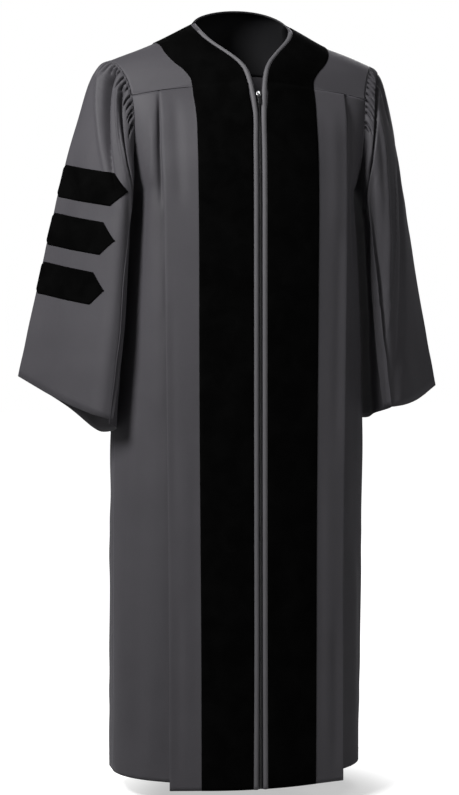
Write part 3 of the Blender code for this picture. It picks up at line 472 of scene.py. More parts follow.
def gathers(count, first, last, top, shortest, longest, depth, width, seed):
    """Uneven troughs, close together below a seam, of many lengths."""
    random = np.random.default_rng(seed)
    spacing = (last - first) / count
    found = []
    for index in range(count):
        share = first + spacing * (index + 0.5 + random.uniform(-0.28, 0.28))
        length = random.uniform(shortest, longest) * (1.5 if index % 5 == 2 else 1.0)
        size = depth * random.uniform(0.55, 1.25)
        spread = width * random.uniform(0.8, 1.25)
        found.append(Crease(share, random.uniform(-0.5, 0.5) * spacing, top, top - length, -size, spread))
    return found


BACK_COLUMNS, BACK_ROWS_ABOVE, BACK_ROWS_BELOW = 170, 45, 115
BACK_SEAM_WIDTH, BACK_WIDTH = 0.205, 0.230
BACK_CREASES = [
    Crease(-0.62, 0.06, -0.300, -0.900, -0.0030, 0.018),
    Crease(-0.20, -0.05, -0.420, -1.200, 0.0030, 0.020),
    Crease(0.15, 0.04, -0.260, -0.760, -0.0028, 0.016),
    Crease(0.44, 0.06, -0.500, -1.340, 0.0034, 0.022),
    Crease(0.70, -0.06, -0.340, -0.980, -0.0030, 0.018),
    Crease(-0.40, -0.02, -0.780, -1.345, -0.0034, 0.020),
]


def back_grid():
    """The back from its gathered seam to the hem, columns from the left side to the right."""
    levels = two_runs(SEAM_LEVEL, UNDERARM_Z, HEM_Z, BACK_ROWS_ABOVE, BACK_ROWS_BELOW)
    shares = np.linspace(1, -1, BACK_COLUMNS)
    rows = []
    for level in levels:
        sizes = read_table(BACKS, "z", level)
        row = back_plan(np.abs(shares), level)
        row[:, 0] *= np.sign(shares)
        uneven = FOLD_UNEVENNESS * np.sin(FOLD_UNEVEN_WAVES * shares)
        fold = sizes.fold * np.sin(math.pi * BACK_FOLDS * shares + uneven)
        along = np.gradient(row, axis=0)
        outward = np.stack([-along[:, 1], along[:, 0]], 1)
        outward /= np.linalg.norm(outward, axis=1)[:, None]
        outward *= np.sign(outward[BACK_COLUMNS // 2, 1])
        row[:, :2] += outward * (fold * smooth_step(1 - np.abs(shares), 0.0, FOLD_FADE))[:, None]
        rows.append(row)
    grid = np.array(rows)
    heights = grid[:, :, 2]
    pleats = gathers(
        count=44, first=-0.84, last=0.84, top=BACK_SEAM_Z + 0.02, shortest=0.10, longest=0.22,
        depth=0.0030, width=0.0040, seed=11,
    )
    out = crease_depths(pleats, shares, BACK_SEAM_WIDTH, heights, fade=0.22)
    out += crease_depths(BACK_CREASES, shares, BACK_WIDTH, heights)
    out += cloth_waves(grid, 0.0006)
    out *= smooth_step(1 - np.abs(shares), 0.0, 0.06)
    out *= smooth_step(running_length(grid, 0), 0.0, 0.012)
    return grid + grid_normals(grid) * out[:, :, None]


def sleeve_point(share, t, name):
    guide = read_table(GUIDES, "share", share)
    hang = SLEEVE_HANG[name]
    across = (guide.cuff_x - CUFF_INNER_X) / (CUFF_OUTER_X - CUFF_INNER_X)
    start = np.array([arm_point(angle) for angle in guide.angle]) + (SLEEVE_SEAM_GAP, 0, 0)
    leave = start + np.stack([guide.puff_x, guide.puff_y, guide.puff_z], 1)
    low = np.stack([guide.low_x + hang.crease_out * across**2, guide.low_y, guide.low_z], 1)
    drop = hang.inner_drop + (hang.outer_drop - hang.inner_drop) * across
    cuff = np.stack([guide.cuff_x, guide.cuff_y, guide.cuff_z + drop], 1)
    return (1 - t) ** 3 * start + 3 * t * (1 - t) ** 2 * leave + 3 * t * t * (1 - t) * low + t**3 * cuff


# A sleeve's points are closer round its gathered head, to HEAD_ANGLE on both sides of the top, and down to
# HEAD_SHARE of its length.
HEAD_ANGLE, HEAD_COLUMNS, UNDER_COLUMNS, GUIDE_READINGS = 104.0, 340, 110, 1441
HEAD_SHARE, HEAD_ROWS, LOWER_ROWS = 0.30, 43, 53
HEAD_SEEDS = {"right": 5, "left": 8}
# Folds of a sleeve: the armhole angle where each starts and how it drifts and bends (angle + drift * down +
# bend * down squared), where it starts and ends down the sleeve as a share of its length, its depth (below 0
# for a trough) and its width in metres.
Fold = namedtuple("Fold", "angle drift bend start end depth width")
SLEEVE_FOLDS = {
    "right": [
        Fold(120, 0, 0, 0.20, 2.20, -0.0180, 0.0290),
        Fold(34, -78, 392, 0.04, 0.52, -0.0240, 0.0100),
        Fold(17, -78, 392, 0.10, 0.55, 0.0050, 0.0080),
        Fold(4, 0, 0, 0.02, 0.42, 0.0040, 0.0140),
        Fold(69, -260, 1223, 0.04, 0.40, -0.0130, 0.0085),
        Fold(58, -150, 700, 0.08, 0.42, 0.0030, 0.0060),
        Fold(84, 0, 0, 0.00, 0.15, -0.0080, 0.0034),
        Fold(92, 0, 0, 0.00, 0.20, -0.0070, 0.0040),
        Fold(40, 0, 0, 0.36, 0.98, 0.0018, 0.0180),
        Fold(104, 6, 0, 0.34, 0.95, -0.0024, 0.0110),
        Fold(22, -6, 0, 0.45, 1.02, -0.0018, 0.0170),
        Fold(-40, -10, 0, 0.10, 0.80, -0.0050, 0.0160),
        Fold(-70, -6, 0, 0.20, 1.02, 0.0050, 0.0170),
        Fold(-100, -14, 0, 0.15, 0.90, -0.0050, 0.0150),
    ],
    "left": [
        Fold(106, 4, 0, 0.14, 2.20, -0.0180, 0.0300),
        Fold(134, 0, 0, 0.14, 2.20, -0.0130, 0.0210),
        Fold(-57, 637, 0, 0.10, 0.40, -0.0120, 0.0240),
        Fold(20, 40, 0, 0.02, 0.40, -0.0060, 0.0070),
        Fold(50, 55, 0, 0.10, 1.10, 0.0050, 0.0120),
        Fold(-38, 163, 0, 0.44, 1.00, 0.0018, 0.0024),
        Fold(-64, 163, 0, 0.40, 1.10, -0.0060, 0.0150),
        Fold(-44, -8, 0, 0.08, 0.86, -0.0050, 0.0160),
        Fold(-78, -8, 0, 0.20, 1.02, 0.0050, 0.0160),
        Fold(-106, -10, 0, 0.16, 0.92, -0.0045, 0.0150),
    ],
}


def sleeve_head_folds(seed):
    """The fine flutes of the gathered sleeve head, a trough every few degrees of the armhole."""
    random = np.random.default_rng(seed)
    found = []
    for middle in np.arange(-96, 97, 7.0):
        angle = middle + random.uniform(-1.6, 1.6)
        end = random.uniform(0.12, 0.22)
        depth = random.uniform(0.0060, 0.0085)
        drift = random.uniform(-3, 3)
        found.append(Fold(angle, drift, 0, -0.04, end, -depth, random.uniform(0.0018, 0.0025)))
    return found


def plain_sleeve_grid(name):
    """The smooth sleeve from armhole to cuff, columns round from the outer crease over the back to it."""
    fine = np.linspace(0, 1, GUIDE_READINGS)
    fine_angles = read_table(GUIDES, "share", fine).angle
    half = np.linspace(0, HEAD_ANGLE, HEAD_COLUMNS // 2)
    under = np.linspace(HEAD_ANGLE, 360 - HEAD_ANGLE, UNDER_COLUMNS)[1:-1]
    angles = np.concatenate([half, under, 360 - half[::-1]])[::-1]
    shares = np.interp(angles, fine_angles, fine)
    downs = two_runs(0, HEAD_SHARE, 1.0, HEAD_ROWS, LOWER_ROWS)
    return np.array([sleeve_point(shares, t, name) for t in downs]), angles, downs


def sleeve_grid(name):
    """The sleeve with its folds and its gathered head."""
    grid, angles, downs = plain_sleeve_grid(name)
    normals = grid_normals(grid)
    normals[:, 0] = normals[:, -1] = (normals[:, 0] + normals[:, -1]) / 2
    length = running_length(grid, 1)
    down = downs[:, None]
    out = np.zeros(grid.shape[:2])
    for fold in SLEEVE_FOLDS[name] + sleeve_head_folds(HEAD_SEEDS[name]):
        centre = (fold.angle + fold.drift * down + fold.bend * down**2 - angles + 180) % 360 - 180
        nearest = np.argmin(np.abs(centre), axis=1)
        here = np.take_along_axis(length, nearest[:, None], 1)
        apart = np.abs(length - here)
        apart = np.minimum(apart, length[:, -1:] - apart)
        reach = (down - fold.start) / (fold.end - fold.start)
        inside = smooth_step(reach, 0.0, 0.25) * (1 - smooth_step(reach, 0.55, 1.0))
        out += fold.depth * inside * np.exp(-((apart / fold.width) ** 2))
    out += cloth_waves(grid, 0.0006) * smooth_step(down, 0.1, 0.3)
    out *= smooth_step(down, 0.0, 0.012)
    grid = grid + normals * out[:, :, None]
    grid[:, -1] = grid[:, 0] = (grid[:, 0] + grid[:, -1]) / 2
    return grid


def bar_grid(sleeve, name, top_z, columns=76, rows=22):
    """A velvet bar laid on the sleeve: columns along it, measured round the plain sleeve, rows down."""
    crease = sleeve.shape[1] - 1
    ring = np.concatenate([sleeve[:, :-1], sleeve], axis=1)
    plain = plain_sleeve_grid(name)[0]
    plain = np.concatenate([plain[:, :-1], plain], axis=1)
    outer = moved(ring, BAR_CLEARANCE + VELVET_WALL)
    middle_z = top_z - BAR_HEIGHT / 2

    def at(grid, guides, column, height):
        c = min(int(column), grid.shape[1] - 2)
        share = column - c
        guide = guides[:, c, 2] * (1 - share) + guides[:, c + 1, 2] * share
        line = grid[:, c] * (1 - share) + grid[:, c + 1] * share
        return read_line(-height, -guide, line)

    around = np.array([at(plain, plain, column, middle_z) for column in range(plain.shape[1] - 1)])
    distance = line_lengths(around)
    distance -= distance[crease]
    first = BAR_TURN[name] - BAR_HALF_LENGTH
    last = BAR_TURN[name] + BAR_HALF_LENGTH
    grid = []
    for height_share in np.linspace(0, 1, rows):
        row = []
        for place in np.linspace(first, last, columns):
            end = min(place - first, last - place)
            half = BAR_HEIGHT / 2 * min(max(end / BAR_POINT, BAR_END_SHARE), 1.0)
            z = middle_z + half * (1 - 2 * height_share) - BAR_SLOPE * abs(place)
            row.append(at(outer, ring, np.interp(place, distance, range(len(distance))), z))
        grid.append(row)
    return np.array(grid)


EDGE_DROP, EDGE_WIDTH = 0.0007, 0.0030


def soft_edges(grid, sides=(True, True, True, True)):
    """Rounds the edges of a laid-on piece down towards what it lies on: top, bottom, first and last."""
    down, across = running_length(grid, 0), running_length(grid, 1)
    near = [down, down[-1:] - down, across, across[:, -1:] - across]
    drop = np.zeros(grid.shape[:2])
    for distance, soft in zip(near, sides):
        if soft:
            drop = np.maximum(drop, (1 - np.clip(distance / EDGE_WIDTH, 0, 1)) ** 2)
    return grid - grid_normals(grid) * (drop * EDGE_DROP)[:, :, None]


# Inputs of the Map Range node by number, because each name is there twice.
FROM_LOW, FROM_HIGH, TO_LOW, TO_HIGH = 1, 2, 3, 4


def node_maker(owner):
    """A function that adds a node with its inputs and settings, and links its first output where told."""
    nodes, links = owner.node_tree.nodes, owner.node_tree.links

    def make(kind, inputs=None, to=None, **settings):
        node = nodes.new("ShaderNode" + kind)
        for key, value in settings.items():
            setattr(node, key, value)
        for key, value in (inputs or {}).items():
            if isinstance(value, bpy.types.NodeSocket):
                links.new(value, node.inputs[key])
            else:
                node.inputs[key].default_value = value
        if to is not None:
            links.new(node.outputs[0], to)
        return node

    return make


def new_material(name, colour, roughness, metallic=0.0, **sockets):
    """A material, its shader's inputs, the function that adds nodes to it, and the place on the object."""
    material = bpy.data.materials.new(name)
    material.use_nodes = True
    shader = material.node_tree.nodes["Principled BSDF"]
    values = {"Base Color": (*colour, 1), "Roughness": roughness, "Metallic": metallic, **sockets}
    for socket, value in values.items():
        shader.inputs[socket.replace("_", " ")].default_value = value
    make = node_maker(material)
    return material, shader.inputs, make, make("TexCoord").outputs["Object"]


def noise(make, place, scale, detail, **more):
    return make("TexNoise", {"Vector": place, "Scale": scale, "Detail": detail, **more}).outputs["Fac"]


def add_share(make, value, share, other):
    return make("Math", {0: value, 1: share, 2: other}, operation="MULTIPLY_ADD").outputs[0]


def add_bump(make, sockets, height, distance, strength):
    make("Bump", {"Height": height, "Distance": distance, "Strength": strength}, sockets["Normal"])


def add_ramp(make, sockets, value, colour, stops):
    """Colour that runs between two stops, each a place and the share of the colour there."""
    ramp = make("ValToRGB", {"Fac": value}, sockets["Base Color"]).color_ramp
    for stop, (place, share) in zip(ramp.elements, stops):
        stop.position = place
        stop.color = (*[c * share for c in colour], 1)


def cloth_material(name, colour, roughness, thread, weave_depth, variation, **values):
    """Woven cloth: crossing threads as bump, and colour that varies a little over the surface."""
    material, sockets, make, place = new_material(name, colour, roughness, **values)
    weave = {"Vector": make("UVMap", uv_map="weave").outputs[0], "Scale": math.pi / (10 * thread)}
    warp, weft = [make("TexWave", weave, bands_direction=way).outputs["Fac"] for way in "XY"]
    threads = make("Math", {0: warp, 1: weft}, operation="MAXIMUM").outputs[0]
    height = add_share(make, noise(make, place, 240.0, 3.0), 0.5, threads)
    add_bump(make, sockets, height, weave_depth, 0.6)
    cloud = noise(make, place, 7.0, 4.0, Roughness=0.6)
    both = add_share(make, noise(make, place, 420.0, 2.0), 0.5, cloud)
    add_ramp(make, sockets, both, colour, [(0.45, 1 - variation), (1.0, 1 + variation)])
    span = {TO_LOW: roughness - 0.06, TO_HIGH: roughness + 0.06}
    make("MapRange", {"Value": cloud, **span}, sockets["Roughness"])
    return material


def velvet_material():
    """Short-pile velvet: nap in soft patches, and a fine uneven pile as bump."""
    colour = (0.0010, 0.0010, 0.0010)
    sheen = {"Sheen_Weight": 0.006, "Sheen_Roughness": 0.35, "Sheen_Tint": (0.5, 0.48, 0.52, 1)}
    material, sockets, make, place = new_material("velvet", colour, 0.95, Specular_IOR_Level=0.02, **sheen)
    nap = noise(make, place, 26.0, 3.0, Distortion=0.4)
    height = add_share(make, nap, 0.8, noise(make, place, 1600.0, 2.0))
    add_bump(make, sockets, height, 0.0004, 0.5)
    add_ramp(make, sockets, nap, colour, [(0.35, 0.7), (0.70, 1.5)])
    return material


def metal_material(name, colour, roughness, metallic):
    """Polished or lacquered metal with fine scratches and slight wear."""
    material, sockets, make, place = new_material(name, colour, roughness, metallic)
    stretched = make("Mapping", {"Vector": place, "Scale": (900.0, 5000.0, 300.0)}).outputs[0]
    scratches = noise(make, stretched, 1.0, 4.0)
    span = {TO_LOW: roughness * 0.7, TO_HIGH: roughness * 1.4}
    make("MapRange", {"Value": scratches, **span}, sockets["Roughness"])
    add_bump(make, sockets, scratches, 0.00003, 0.5)
    return material


DULL = {"Specular_IOR_Level": 0.15}
SHEEN = {
    "Specular_IOR_Level": 0.22,
    "Sheen_Weight": 0.10,
    "Sheen_Roughness": 0.45,
    "Sheen_Tint": (0.80, 0.78, 0.86, 1),
}
MATERIALS = {
    "cloth": cloth_material("gown_cloth", (0.044, 0.042, 0.047), 0.62, 0.0005, 0.00006, 0.10, **SHEEN),
    # The piping's colour is the gown cloth made lighter: a painted highlight where the raised band catches
    # the light.
    "piping": cloth_material("piping_cloth_painted_highlight", (0.080, 0.078, 0.083), 0.62, 0.0005, 0.00006, 0.10, **SHEEN),
    "facing": cloth_material("facing_cloth", (0.009, 0.009, 0.010), 0.75, 0.0005, 0.00005, 0.15, **DULL),
    "tape": cloth_material("zip_tape", (0.012, 0.012, 0.013), 0.80, 0.0008, 0.00010, 0.15, **DULL),
    "thread": cloth_material("sewing_thread", (0.060, 0.058, 0.063), 0.60, 0.0003, 0.00004, 0.10, **DULL),
    "velvet": velvet_material(),
    "coil": metal_material("zip_coil", (0.016, 0.016, 0.017), 0.45, 0.0),
    "metal": metal_material("slider_metal", (0.62, 0.62, 0.63), 0.28, 1.0),
    "dark_metal": metal_material("tab_metal", (0.05, 0.05, 0.052), 0.38, 0.9),
}


def new_object(name, data, look=None):
    obj = bpy.data.objects.new(name, data)
    bpy.context.scene.collection.objects.link(obj)
    if look:
        data.materials.append(MATERIALS[look])
    return obj


def quads(points):
    """The four corners of each face of a grid of points or of their numbers."""
    return np.stack([points[:-1, :-1], points[1:, :-1], points[1:, 1:], points[:-1, 1:]], 2)


def add_sheet(node, grid, look, side=1, closed=False):
    """A thin sheet through the grid's points in a node's place, with a weave map in metres."""
    grid = grid * (side, 1, 1)
    rows, columns = grid.shape[:2]
    used = columns - closed
    index = np.arange(rows * used).reshape(rows, used)
    ring = np.concatenate([index, index[:, :1]], axis=1) if closed else index
    across = running_length(grid, 1)
    across = across - across[:, columns // 2, None]
    corners = quads(ring).reshape(-1, 4)
    weave = quads(np.stack([across, -running_length(grid, 0)], -1)).reshape(-1, 4, 2)
    if side < 0:
        corners, weave = corners[:, ::-1], weave[:, ::-1]
    mesh = bpy.data.meshes.new(f"gown_{node}")
    mesh.from_pydata(grid[:, :used].reshape(-1, 3).tolist(), [], corners.tolist())
    mesh.uv_layers.new(name="weave").data.foreach_set("uv", weave.reshape(-1).astype(np.float32))
    mesh.shade_smooth()
    obj = new_object(f"gown_{node}", mesh, look)
    shell = obj.modifiers.new("Sheet", "SOLIDIFY")
    shell.thickness = VELVET_SHEET if look == "velvet" else CLOTH_SHEET
    shell.offset = -1
    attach(obj, "gown")
    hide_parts(node)


def tube_faces(start, rings, sides, turned=False):
    """The faces of a closed tube from its first point's number, turned where its rings run the other way."""
    faces = []
    for ring in range(rings - 1):
        for corner in range(sides):
            a = start + ring * sides + corner
            b = start + ring * sides + (corner + 1) % sides
            faces.append((a, a + sides, b + sides, b) if turned else (a, b, b + sides, a + sides))
    first = [start + corner for corner in range(sides)]
    last = [corner + (rings - 1) * sides for corner in first]
    return faces + ([first, last[::-1]] if turned else [first[::-1], last])


def add_tubes(name, verts, faces, look):
    mesh = bpy.data.meshes.new(name)
    mesh.from_pydata(verts, [], faces)
    mesh.shade_smooth()
    obj = new_object(name, mesh, look)
    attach(obj, "gown")
    return obj


THREAD_SIDES, STITCH_PITCH, STITCH_LENGTH, STITCH_RADIUS = 5, 0.0030, 0.0021, 0.00022
# A stitch's rings: the share along it and the share of its radius.
STITCH_RINGS = [(-0.5, 0.35), (-0.38, 0.85), (0.0, 1.0), (0.38, 0.85), (0.5, 0.35)]
# How far each row of stitches is from its seam or edge.
SEAM_STITCHES, HEM_STITCHES, CUFF_STITCHES, PIPING_STITCHES = 0.0055, 0.020, 0.018, 0.0088


def along_line(line, run, place, ahead):
    """The point at a place on a line, and the way the line goes on from it."""
    point = read_line(place, run, line)
    step = read_line(place + ahead, run, line) - point
    return point, step / max(np.linalg.norm(step), 1e-9)


def add_stitches(name, lines):
    """A row of stitches along each line: short rounded threads that dip into the cloth at both ends."""
    verts, faces = [], []
    for line, outward in lines:
        run = line_lengths(line)
        for middle in np.arange(STITCH_PITCH / 2, run[-1] - STITCH_PITCH / 2, STITCH_PITCH):
            point, along = along_line(line, run, middle, STITCH_PITCH / 4)
            up = read_line(middle, run, outward)
            beside = np.cross(along, up)
            faces += tube_faces(len(verts), len(STITCH_RINGS), THREAD_SIDES)
            for place, size in STITCH_RINGS:
                lift = STITCH_RADIUS * (1.2 * size - 0.75)
                centre = point + along * place * STITCH_LENGTH + up * lift
                for corner in range(THREAD_SIDES):
                    turn = 2 * math.pi * corner / THREAD_SIDES
                    around = beside * math.cos(turn) + up * math.sin(turn)
                    verts.append(tuple(centre + around * STITCH_RADIUS * size))
    add_tubes(name, verts, faces, "thread")


def row_line(grid, distance, side=1, from_end=False):
    """A line across the grid at a distance down each column, with its outward normals."""
    down = running_length(grid, 0)
    wanted = down[-1] - distance if from_end else np.full(grid.shape[1], distance)
    normals = grid_normals(grid)
    points, outward = [], []
    for column in range(grid.shape[1]):
        points.append(read_line(wanted[column], down[:, column], grid[:, column]))
        outward.append(read_line(wanted[column], down[:, column], normals[:, column]))
    return np.array(points) * (side, 1, 1), np.array(outward) * (side, 1, 1)


def column_line(grid, distance, side=1):
    """A line down the grid at a distance from the first column, with its outward normals."""
    points, outward = row_line(np.swapaxes(grid, 0, 1), distance, side)
    return points, -outward


def eased(grid, joint, reach=9, turns=16):
    """Smooths the rows on both sides of the joint where a strip runs from the yoke on to the front."""
    grid = grid.copy()
    near = slice(joint - reach, joint + reach)
    before, after = slice(joint - reach - 1, joint + reach - 1), slice(joint - reach + 1, joint + reach + 1)
    for _ in range(turns):
        grid[near] = (grid[before] + 2 * grid[near] + grid[after]) / 4
    return grid


def on_row(row, x):
    """The points of a front's flat row at the wanted distances from the middle."""
    return np.stack([x, np.interp(x, row[:, 0], row[:, 1]), np.interp(x, row[:, 0], row[:, 2])], -1)


# The column whose height gives a row's level.
LEVEL_COLUMN = 20


def velvet_front_grid(front, yoke):
    """The velvet's strip over the yoke and the front, on their own fine points."""
    rows = []
    for row in front[1:, :FLAT_STEPS]:
        size = read_table(FRONTS, "z", min(float(row[LEVEL_COLUMN, 2]), SEAM_LEVEL))
        rows.append(on_row(row, np.linspace(size.edge_x + PIPING_WIDTH, size.velvet_x, INNER_STEPS - 1)))
    return np.concatenate([yoke[:, 1:INNER_STEPS], rows])


# The piping's section: the share across the band, and the height over the cloth in metres.
PIPING_SECTION = [
    (0.04, 0.0004),
    (0.10, 0.0014),
    (0.25, 0.0024),
    (0.42, 0.0029),
    (0.58, 0.0029),
    (0.75, 0.0024),
    (0.90, 0.0016),
    (0.96, 0.0010),
]


def piping_grid(front, yoke):
    """The raised band along the edge: it rises from the velvet, rounds over and turns in at the edge."""
    edge = np.concatenate([yoke[:, [0, 1]], front[1:, [0, 0]]])
    for index in range(len(yoke), len(edge)):
        row = front[index - len(yoke) + 1, :FLAT_STEPS]
        edge[index, 1] = on_row(row, row[0, 0] + PIPING_WIDTH)
    edge = eased(edge, len(yoke))
    across, heights = np.array(PIPING_SECTION).T
    band = edge[:, :1] + (edge[:, 1:] - edge[:, :1]) * across[None, :, None]
    wide = np.linalg.norm(edge[:, 1] - edge[:, 0], axis=1)
    lift = heights[None, :] * np.clip(wide / PIPING_WIDTH, 0, 1)[:, None]
    return band + grid_normals(band) * lift[:, :, None]


RIDGE_HEIGHT, RIDGE_FLAT, RIDGE_END = 0.0011, 0.0045, 0.0075
RIDGE_CROWN, RIDGE_MIDDLE, RIDGE_SPREAD = 0.0004, 0.003, 0.002
# Where the piping shows, and where the rows of stitches start on the side panel and on the piping.
PIPING_START_ROW, SIDE_START_COLUMN, PIPING_STITCH_ROW = 12, 60, 6


def ridged_yoke():
    """The yoke with the ridge of its seam turnings, which shows beyond the velvet alone."""
    yoke = yoke_grid()
    up = running_length(yoke, 0)[-1:] - running_length(yoke, 0)
    ridge = RIDGE_HEIGHT * (1 - smooth_step(up, RIDGE_FLAT, RIDGE_END))
    ridge = ridge + RIDGE_CROWN * np.exp(-(((up - RIDGE_MIDDLE) / RIDGE_SPREAD) ** 2))
    ridge = ridge * smooth_step(np.arange(yoke.shape[1]), INNER_STEPS - 1, INNER_STEPS + 2)
    return yoke + grid_normals(yoke) * (ridge + cloth_waves(yoke, 0.00025))[:, :, None]


def add_body():
    yoke = ridged_yoke()
    yoke_lines = []
    for name, side in SIDES.items():
        front = front_grid(name)
        add_sheet(f"front_{name}", front, "cloth", side)
        add_sheet(f"yoke_{name}", yoke, "cloth", side)
        velvet = moved(velvet_front_grid(front, yoke), LAYER_GAP + VELVET_WALL)
        velvet = soft_edges(velvet, (False, True, True, True))
        add_sheet(f"velvet_{name}", velvet, "velvet", side)
        piping = piping_grid(front, yoke)[PIPING_START_ROW:]
        add_sheet(f"piping_{name}", piping, "piping", side)
        yoke_lines.append(row_line(yoke[:, INNER_STEPS:], SEAM_STITCHES, side, True))
        lines = [
            row_line(front[:, 1:FLAT_STEPS], HEM_STITCHES, side, True),
            row_line(front[:, SIDE_START_COLUMN:-1], HEM_STITCHES, side, True),
            column_line(piping[PIPING_STITCH_ROW:], PIPING_STITCHES, side),
        ]
        add_stitches(f"front_stitches_{name}", lines)
    add_stitches("yoke_stitches", yoke_lines)


FACING_DOWN, FACING_SHARE = 5 / 6, 0.60


def add_back():
    back = back_grid()
    add_sheet("back", back, "cloth")
    yoke, shares = back_yoke_grid()
    add_sheet("back_yoke", yoke, "cloth")
    near, rows = np.abs(shares) <= BACK_VELVET_SHARE, int(BACK_VELVET_DOWN * len(yoke))
    velvet = moved(yoke, LAYER_GAP + VELVET_WALL)[:rows, near]
    velvet = soft_edges(velvet, (True, True, False, False))
    add_sheet("velvet_back_neck", velvet, "velvet")
    near, rows = np.abs(shares) <= FACING_SHARE, int(FACING_DOWN * len(yoke))
    facing = moved(yoke, -CLOTH_WALL - LAYER_GAP)[:rows, near]
    add_sheet("back_neck_facing", facing, "facing")
    seam = row_line(yoke[:, 3:-3], SEAM_STITCHES, 1, True)
    hem = row_line(back[:, 2:-2], HEM_STITCHES, 1, True)
    add_stitches("back_stitches", [seam, hem])


def add_sleeves():
    for name, side in SIDES.items():
        sleeve = sleeve_grid(name)
        add_sheet(f"sleeve_{name}", sleeve, "cloth", side, closed=True)
        add_stitches(f"cuff_stitches_{name}", [row_line(sleeve, CUFF_STITCHES, side, True)])
        for number, top_z in enumerate(BAR_TOPS, 1):
            bar = soft_edges(bar_grid(sleeve, name, top_z))
            add_sheet(f"bar_{name}_{number}", bar, "velvet", side)


ZIP_LEVEL, ZIP_FINE_END, ZIP_FINE_ROWS, ZIP_ROWS = -0.140, -0.30, 39, 120
TAPE_COLUMNS = [0.0003, 0.0040, 0.0080, 0.0125]


def zip_centre(z):
    """The middle of the zip at a height above its straight run."""
    seam = np.array([0.0, FRONTS[0].centre_y, FRONT_SEAM_Z])
    row = read_table(FRONTS, "z", ZIP_LEVEL)
    below = np.array([0.0, row.centre_y, level_z(row.edge_x, ZIP_LEVEL, front_seam_z)])
    share = (z - seam[2]) / (below[2] - seam[2])
    return seam + (below - seam) * share


def zip_line():
    """The middle of the zip from the slider to the hem."""
    levels = two_runs(ZIP_LEVEL, ZIP_FINE_END, HEM_Z, ZIP_FINE_ROWS, ZIP_ROWS)
    centre = [(0.0, read_table(FRONTS, "z", level).centre_y, level) for level in levels]
    return np.array([zip_centre(CHAIN_TOP_Z), *centre])


def zip_frame(z):
    """The place and lean of the zip at a height: X across, Y into the cloth, Z up along the zip."""
    drop = zip_centre(z + 0.01) - zip_centre(z - 0.01)
    lean = math.atan2(drop[1], drop[2])
    return Matrix.Translation(Vector(zip_centre(z))) @ Matrix.Rotation(-lean, 4, "X")


def add_zip():
    line = zip_line()
    for name, side in SIDES.items():
        tape = line[:, None] + np.array([(x, 0, 0) for x in TAPE_COLUMNS])[None]
        tape = moved(tape, -CLOTH_WALL - LAYER_GAP)
        add_sheet(f"zip_tape_{name}", tape, "tape", side)
    add_coil(line)
    add_slider()
    add_pull_tab()


COIL_PITCH, COIL_WIRE, COIL_SIDES, COIL_END, COIL_AHEAD = 0.0016, 0.00042, 5, 0.001, 0.002
# A tooth of the coil in plan: across from the zip's middle, and into the cloth.
TOOTH = [(0.0021, -0.0009), (0.0004, -0.0010), (-0.0007, -0.0003), (0.0004, 0.0004), (0.0021, 0.0003)]


def add_coil(line):
    """The closed coil: teeth from both tapes, one after the other, each a bent wire with a round head."""
    run = line_lengths(line)
    verts, faces = [], []
    for number, middle in enumerate(np.arange(COIL_PITCH, run[-1] - COIL_END, COIL_PITCH / 2)):
        side = 1 if number % 2 else -1
        point, down = along_line(line, run, middle, COIL_AHEAD)
        out = np.cross(down, (1, 0, 0))
        faces += tube_faces(len(verts), len(TOOTH), COIL_SIDES, turned=True)
        for index, (x, forward) in enumerate(TOOTH):
            before, after = TOOTH[max(index - 1, 0)], TOOTH[min(index + 1, len(TOOTH) - 1)]
            way = np.array([side * (after[0] - before[0]), 0, 0]) + out * (after[1] - before[1])
            way /= np.linalg.norm(way)
            beside = np.cross(way, down)
            centre = point + np.array([side * x, 0, 0]) + out * forward
            for corner in range(COIL_SIDES):
                turn = 2 * math.pi * corner / COIL_SIDES
                verts.append(tuple(centre + (beside * math.cos(turn) + down * math.sin(turn)) * COIL_WIRE))
    obj = add_tubes("gown_zip_coil", verts, faces, "coil")
    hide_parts("zip_chain")


def add_plate(name, outline, thickness, look, into=0.0):
    """A plate cut to an outline in X and Z, as thick as given along Y, its middle set into the cloth."""
    form = bmesh.new()
    face = form.faces.new([form.verts.new((x, -thickness / 2, z)) for x, z in outline])
    made = bmesh.ops.extrude_face_region(form, geom=[face])
    verts = [v for v in made["geom"] if isinstance(v, bmesh.types.BMVert)]
    bmesh.ops.translate(form, vec=(0, thickness, 0), verts=verts)
    bmesh.ops.recalc_face_normals(form, faces=form.faces)
    mesh = bpy.data.meshes.new(name)
    form.to_mesh(mesh)
    form.free()
    plate = new_object(name, mesh, look)
    plate.location = (0, into, 0)
    return plate


def join_all(name, pieces, look):
    """The pieces as one object."""
    form = bmesh.new()
    for piece in pieces:
        bpy.context.view_layer.update()
        shaped = piece.evaluated_get(bpy.context.evaluated_depsgraph_get())
        mesh = bpy.data.meshes.new_from_object(shaped)
        mesh.transform(piece.matrix_world)
        form.from_mesh(mesh)
        bpy.data.meshes.remove(mesh)
    for piece in pieces:
        bpy.data.objects.remove(piece, do_unlink=True)
    mesh = bpy.data.meshes.new(name)
    form.to_mesh(mesh)
    form.free()
    mesh.shade_smooth()
    return new_object(name, mesh, look)


def bevelled(obj, width, segments=3):
    bevel = obj.modifiers.new("Rounded", "BEVEL")
    bevel.width = width
    bevel.segments = segments
    bevel.limit_method = "ANGLE"
    return obj


SLIDER_WIDE, SLIDER_NARROW, SLIDER_TOP, SLIDER_HALF = 0.0037, 0.0026, 0.0024, 0.0050
SLIDER_WIDE_FROM, SLIDER_WIDE_TO = -0.001, 0.0030
PLATE_THICKNESS, PLATE_PLACES = 0.0012, (-0.0015, 0.0034)
NOSE_OUTLINE = [(-0.0012, 0.0026), (0.0012, 0.0026), (0.0016, 0.0048), (-0.0016, 0.0048)]
NOSE_DEPTH, NOSE_PLACE = 0.0042, 0.0010
ARCH_FOOT, ARCH_KNEE, ARCH_OUT, ARCH_HALF, ARCH_RADIUS = -0.0019, -0.0030, -0.0044, 0.0031, 0.0007


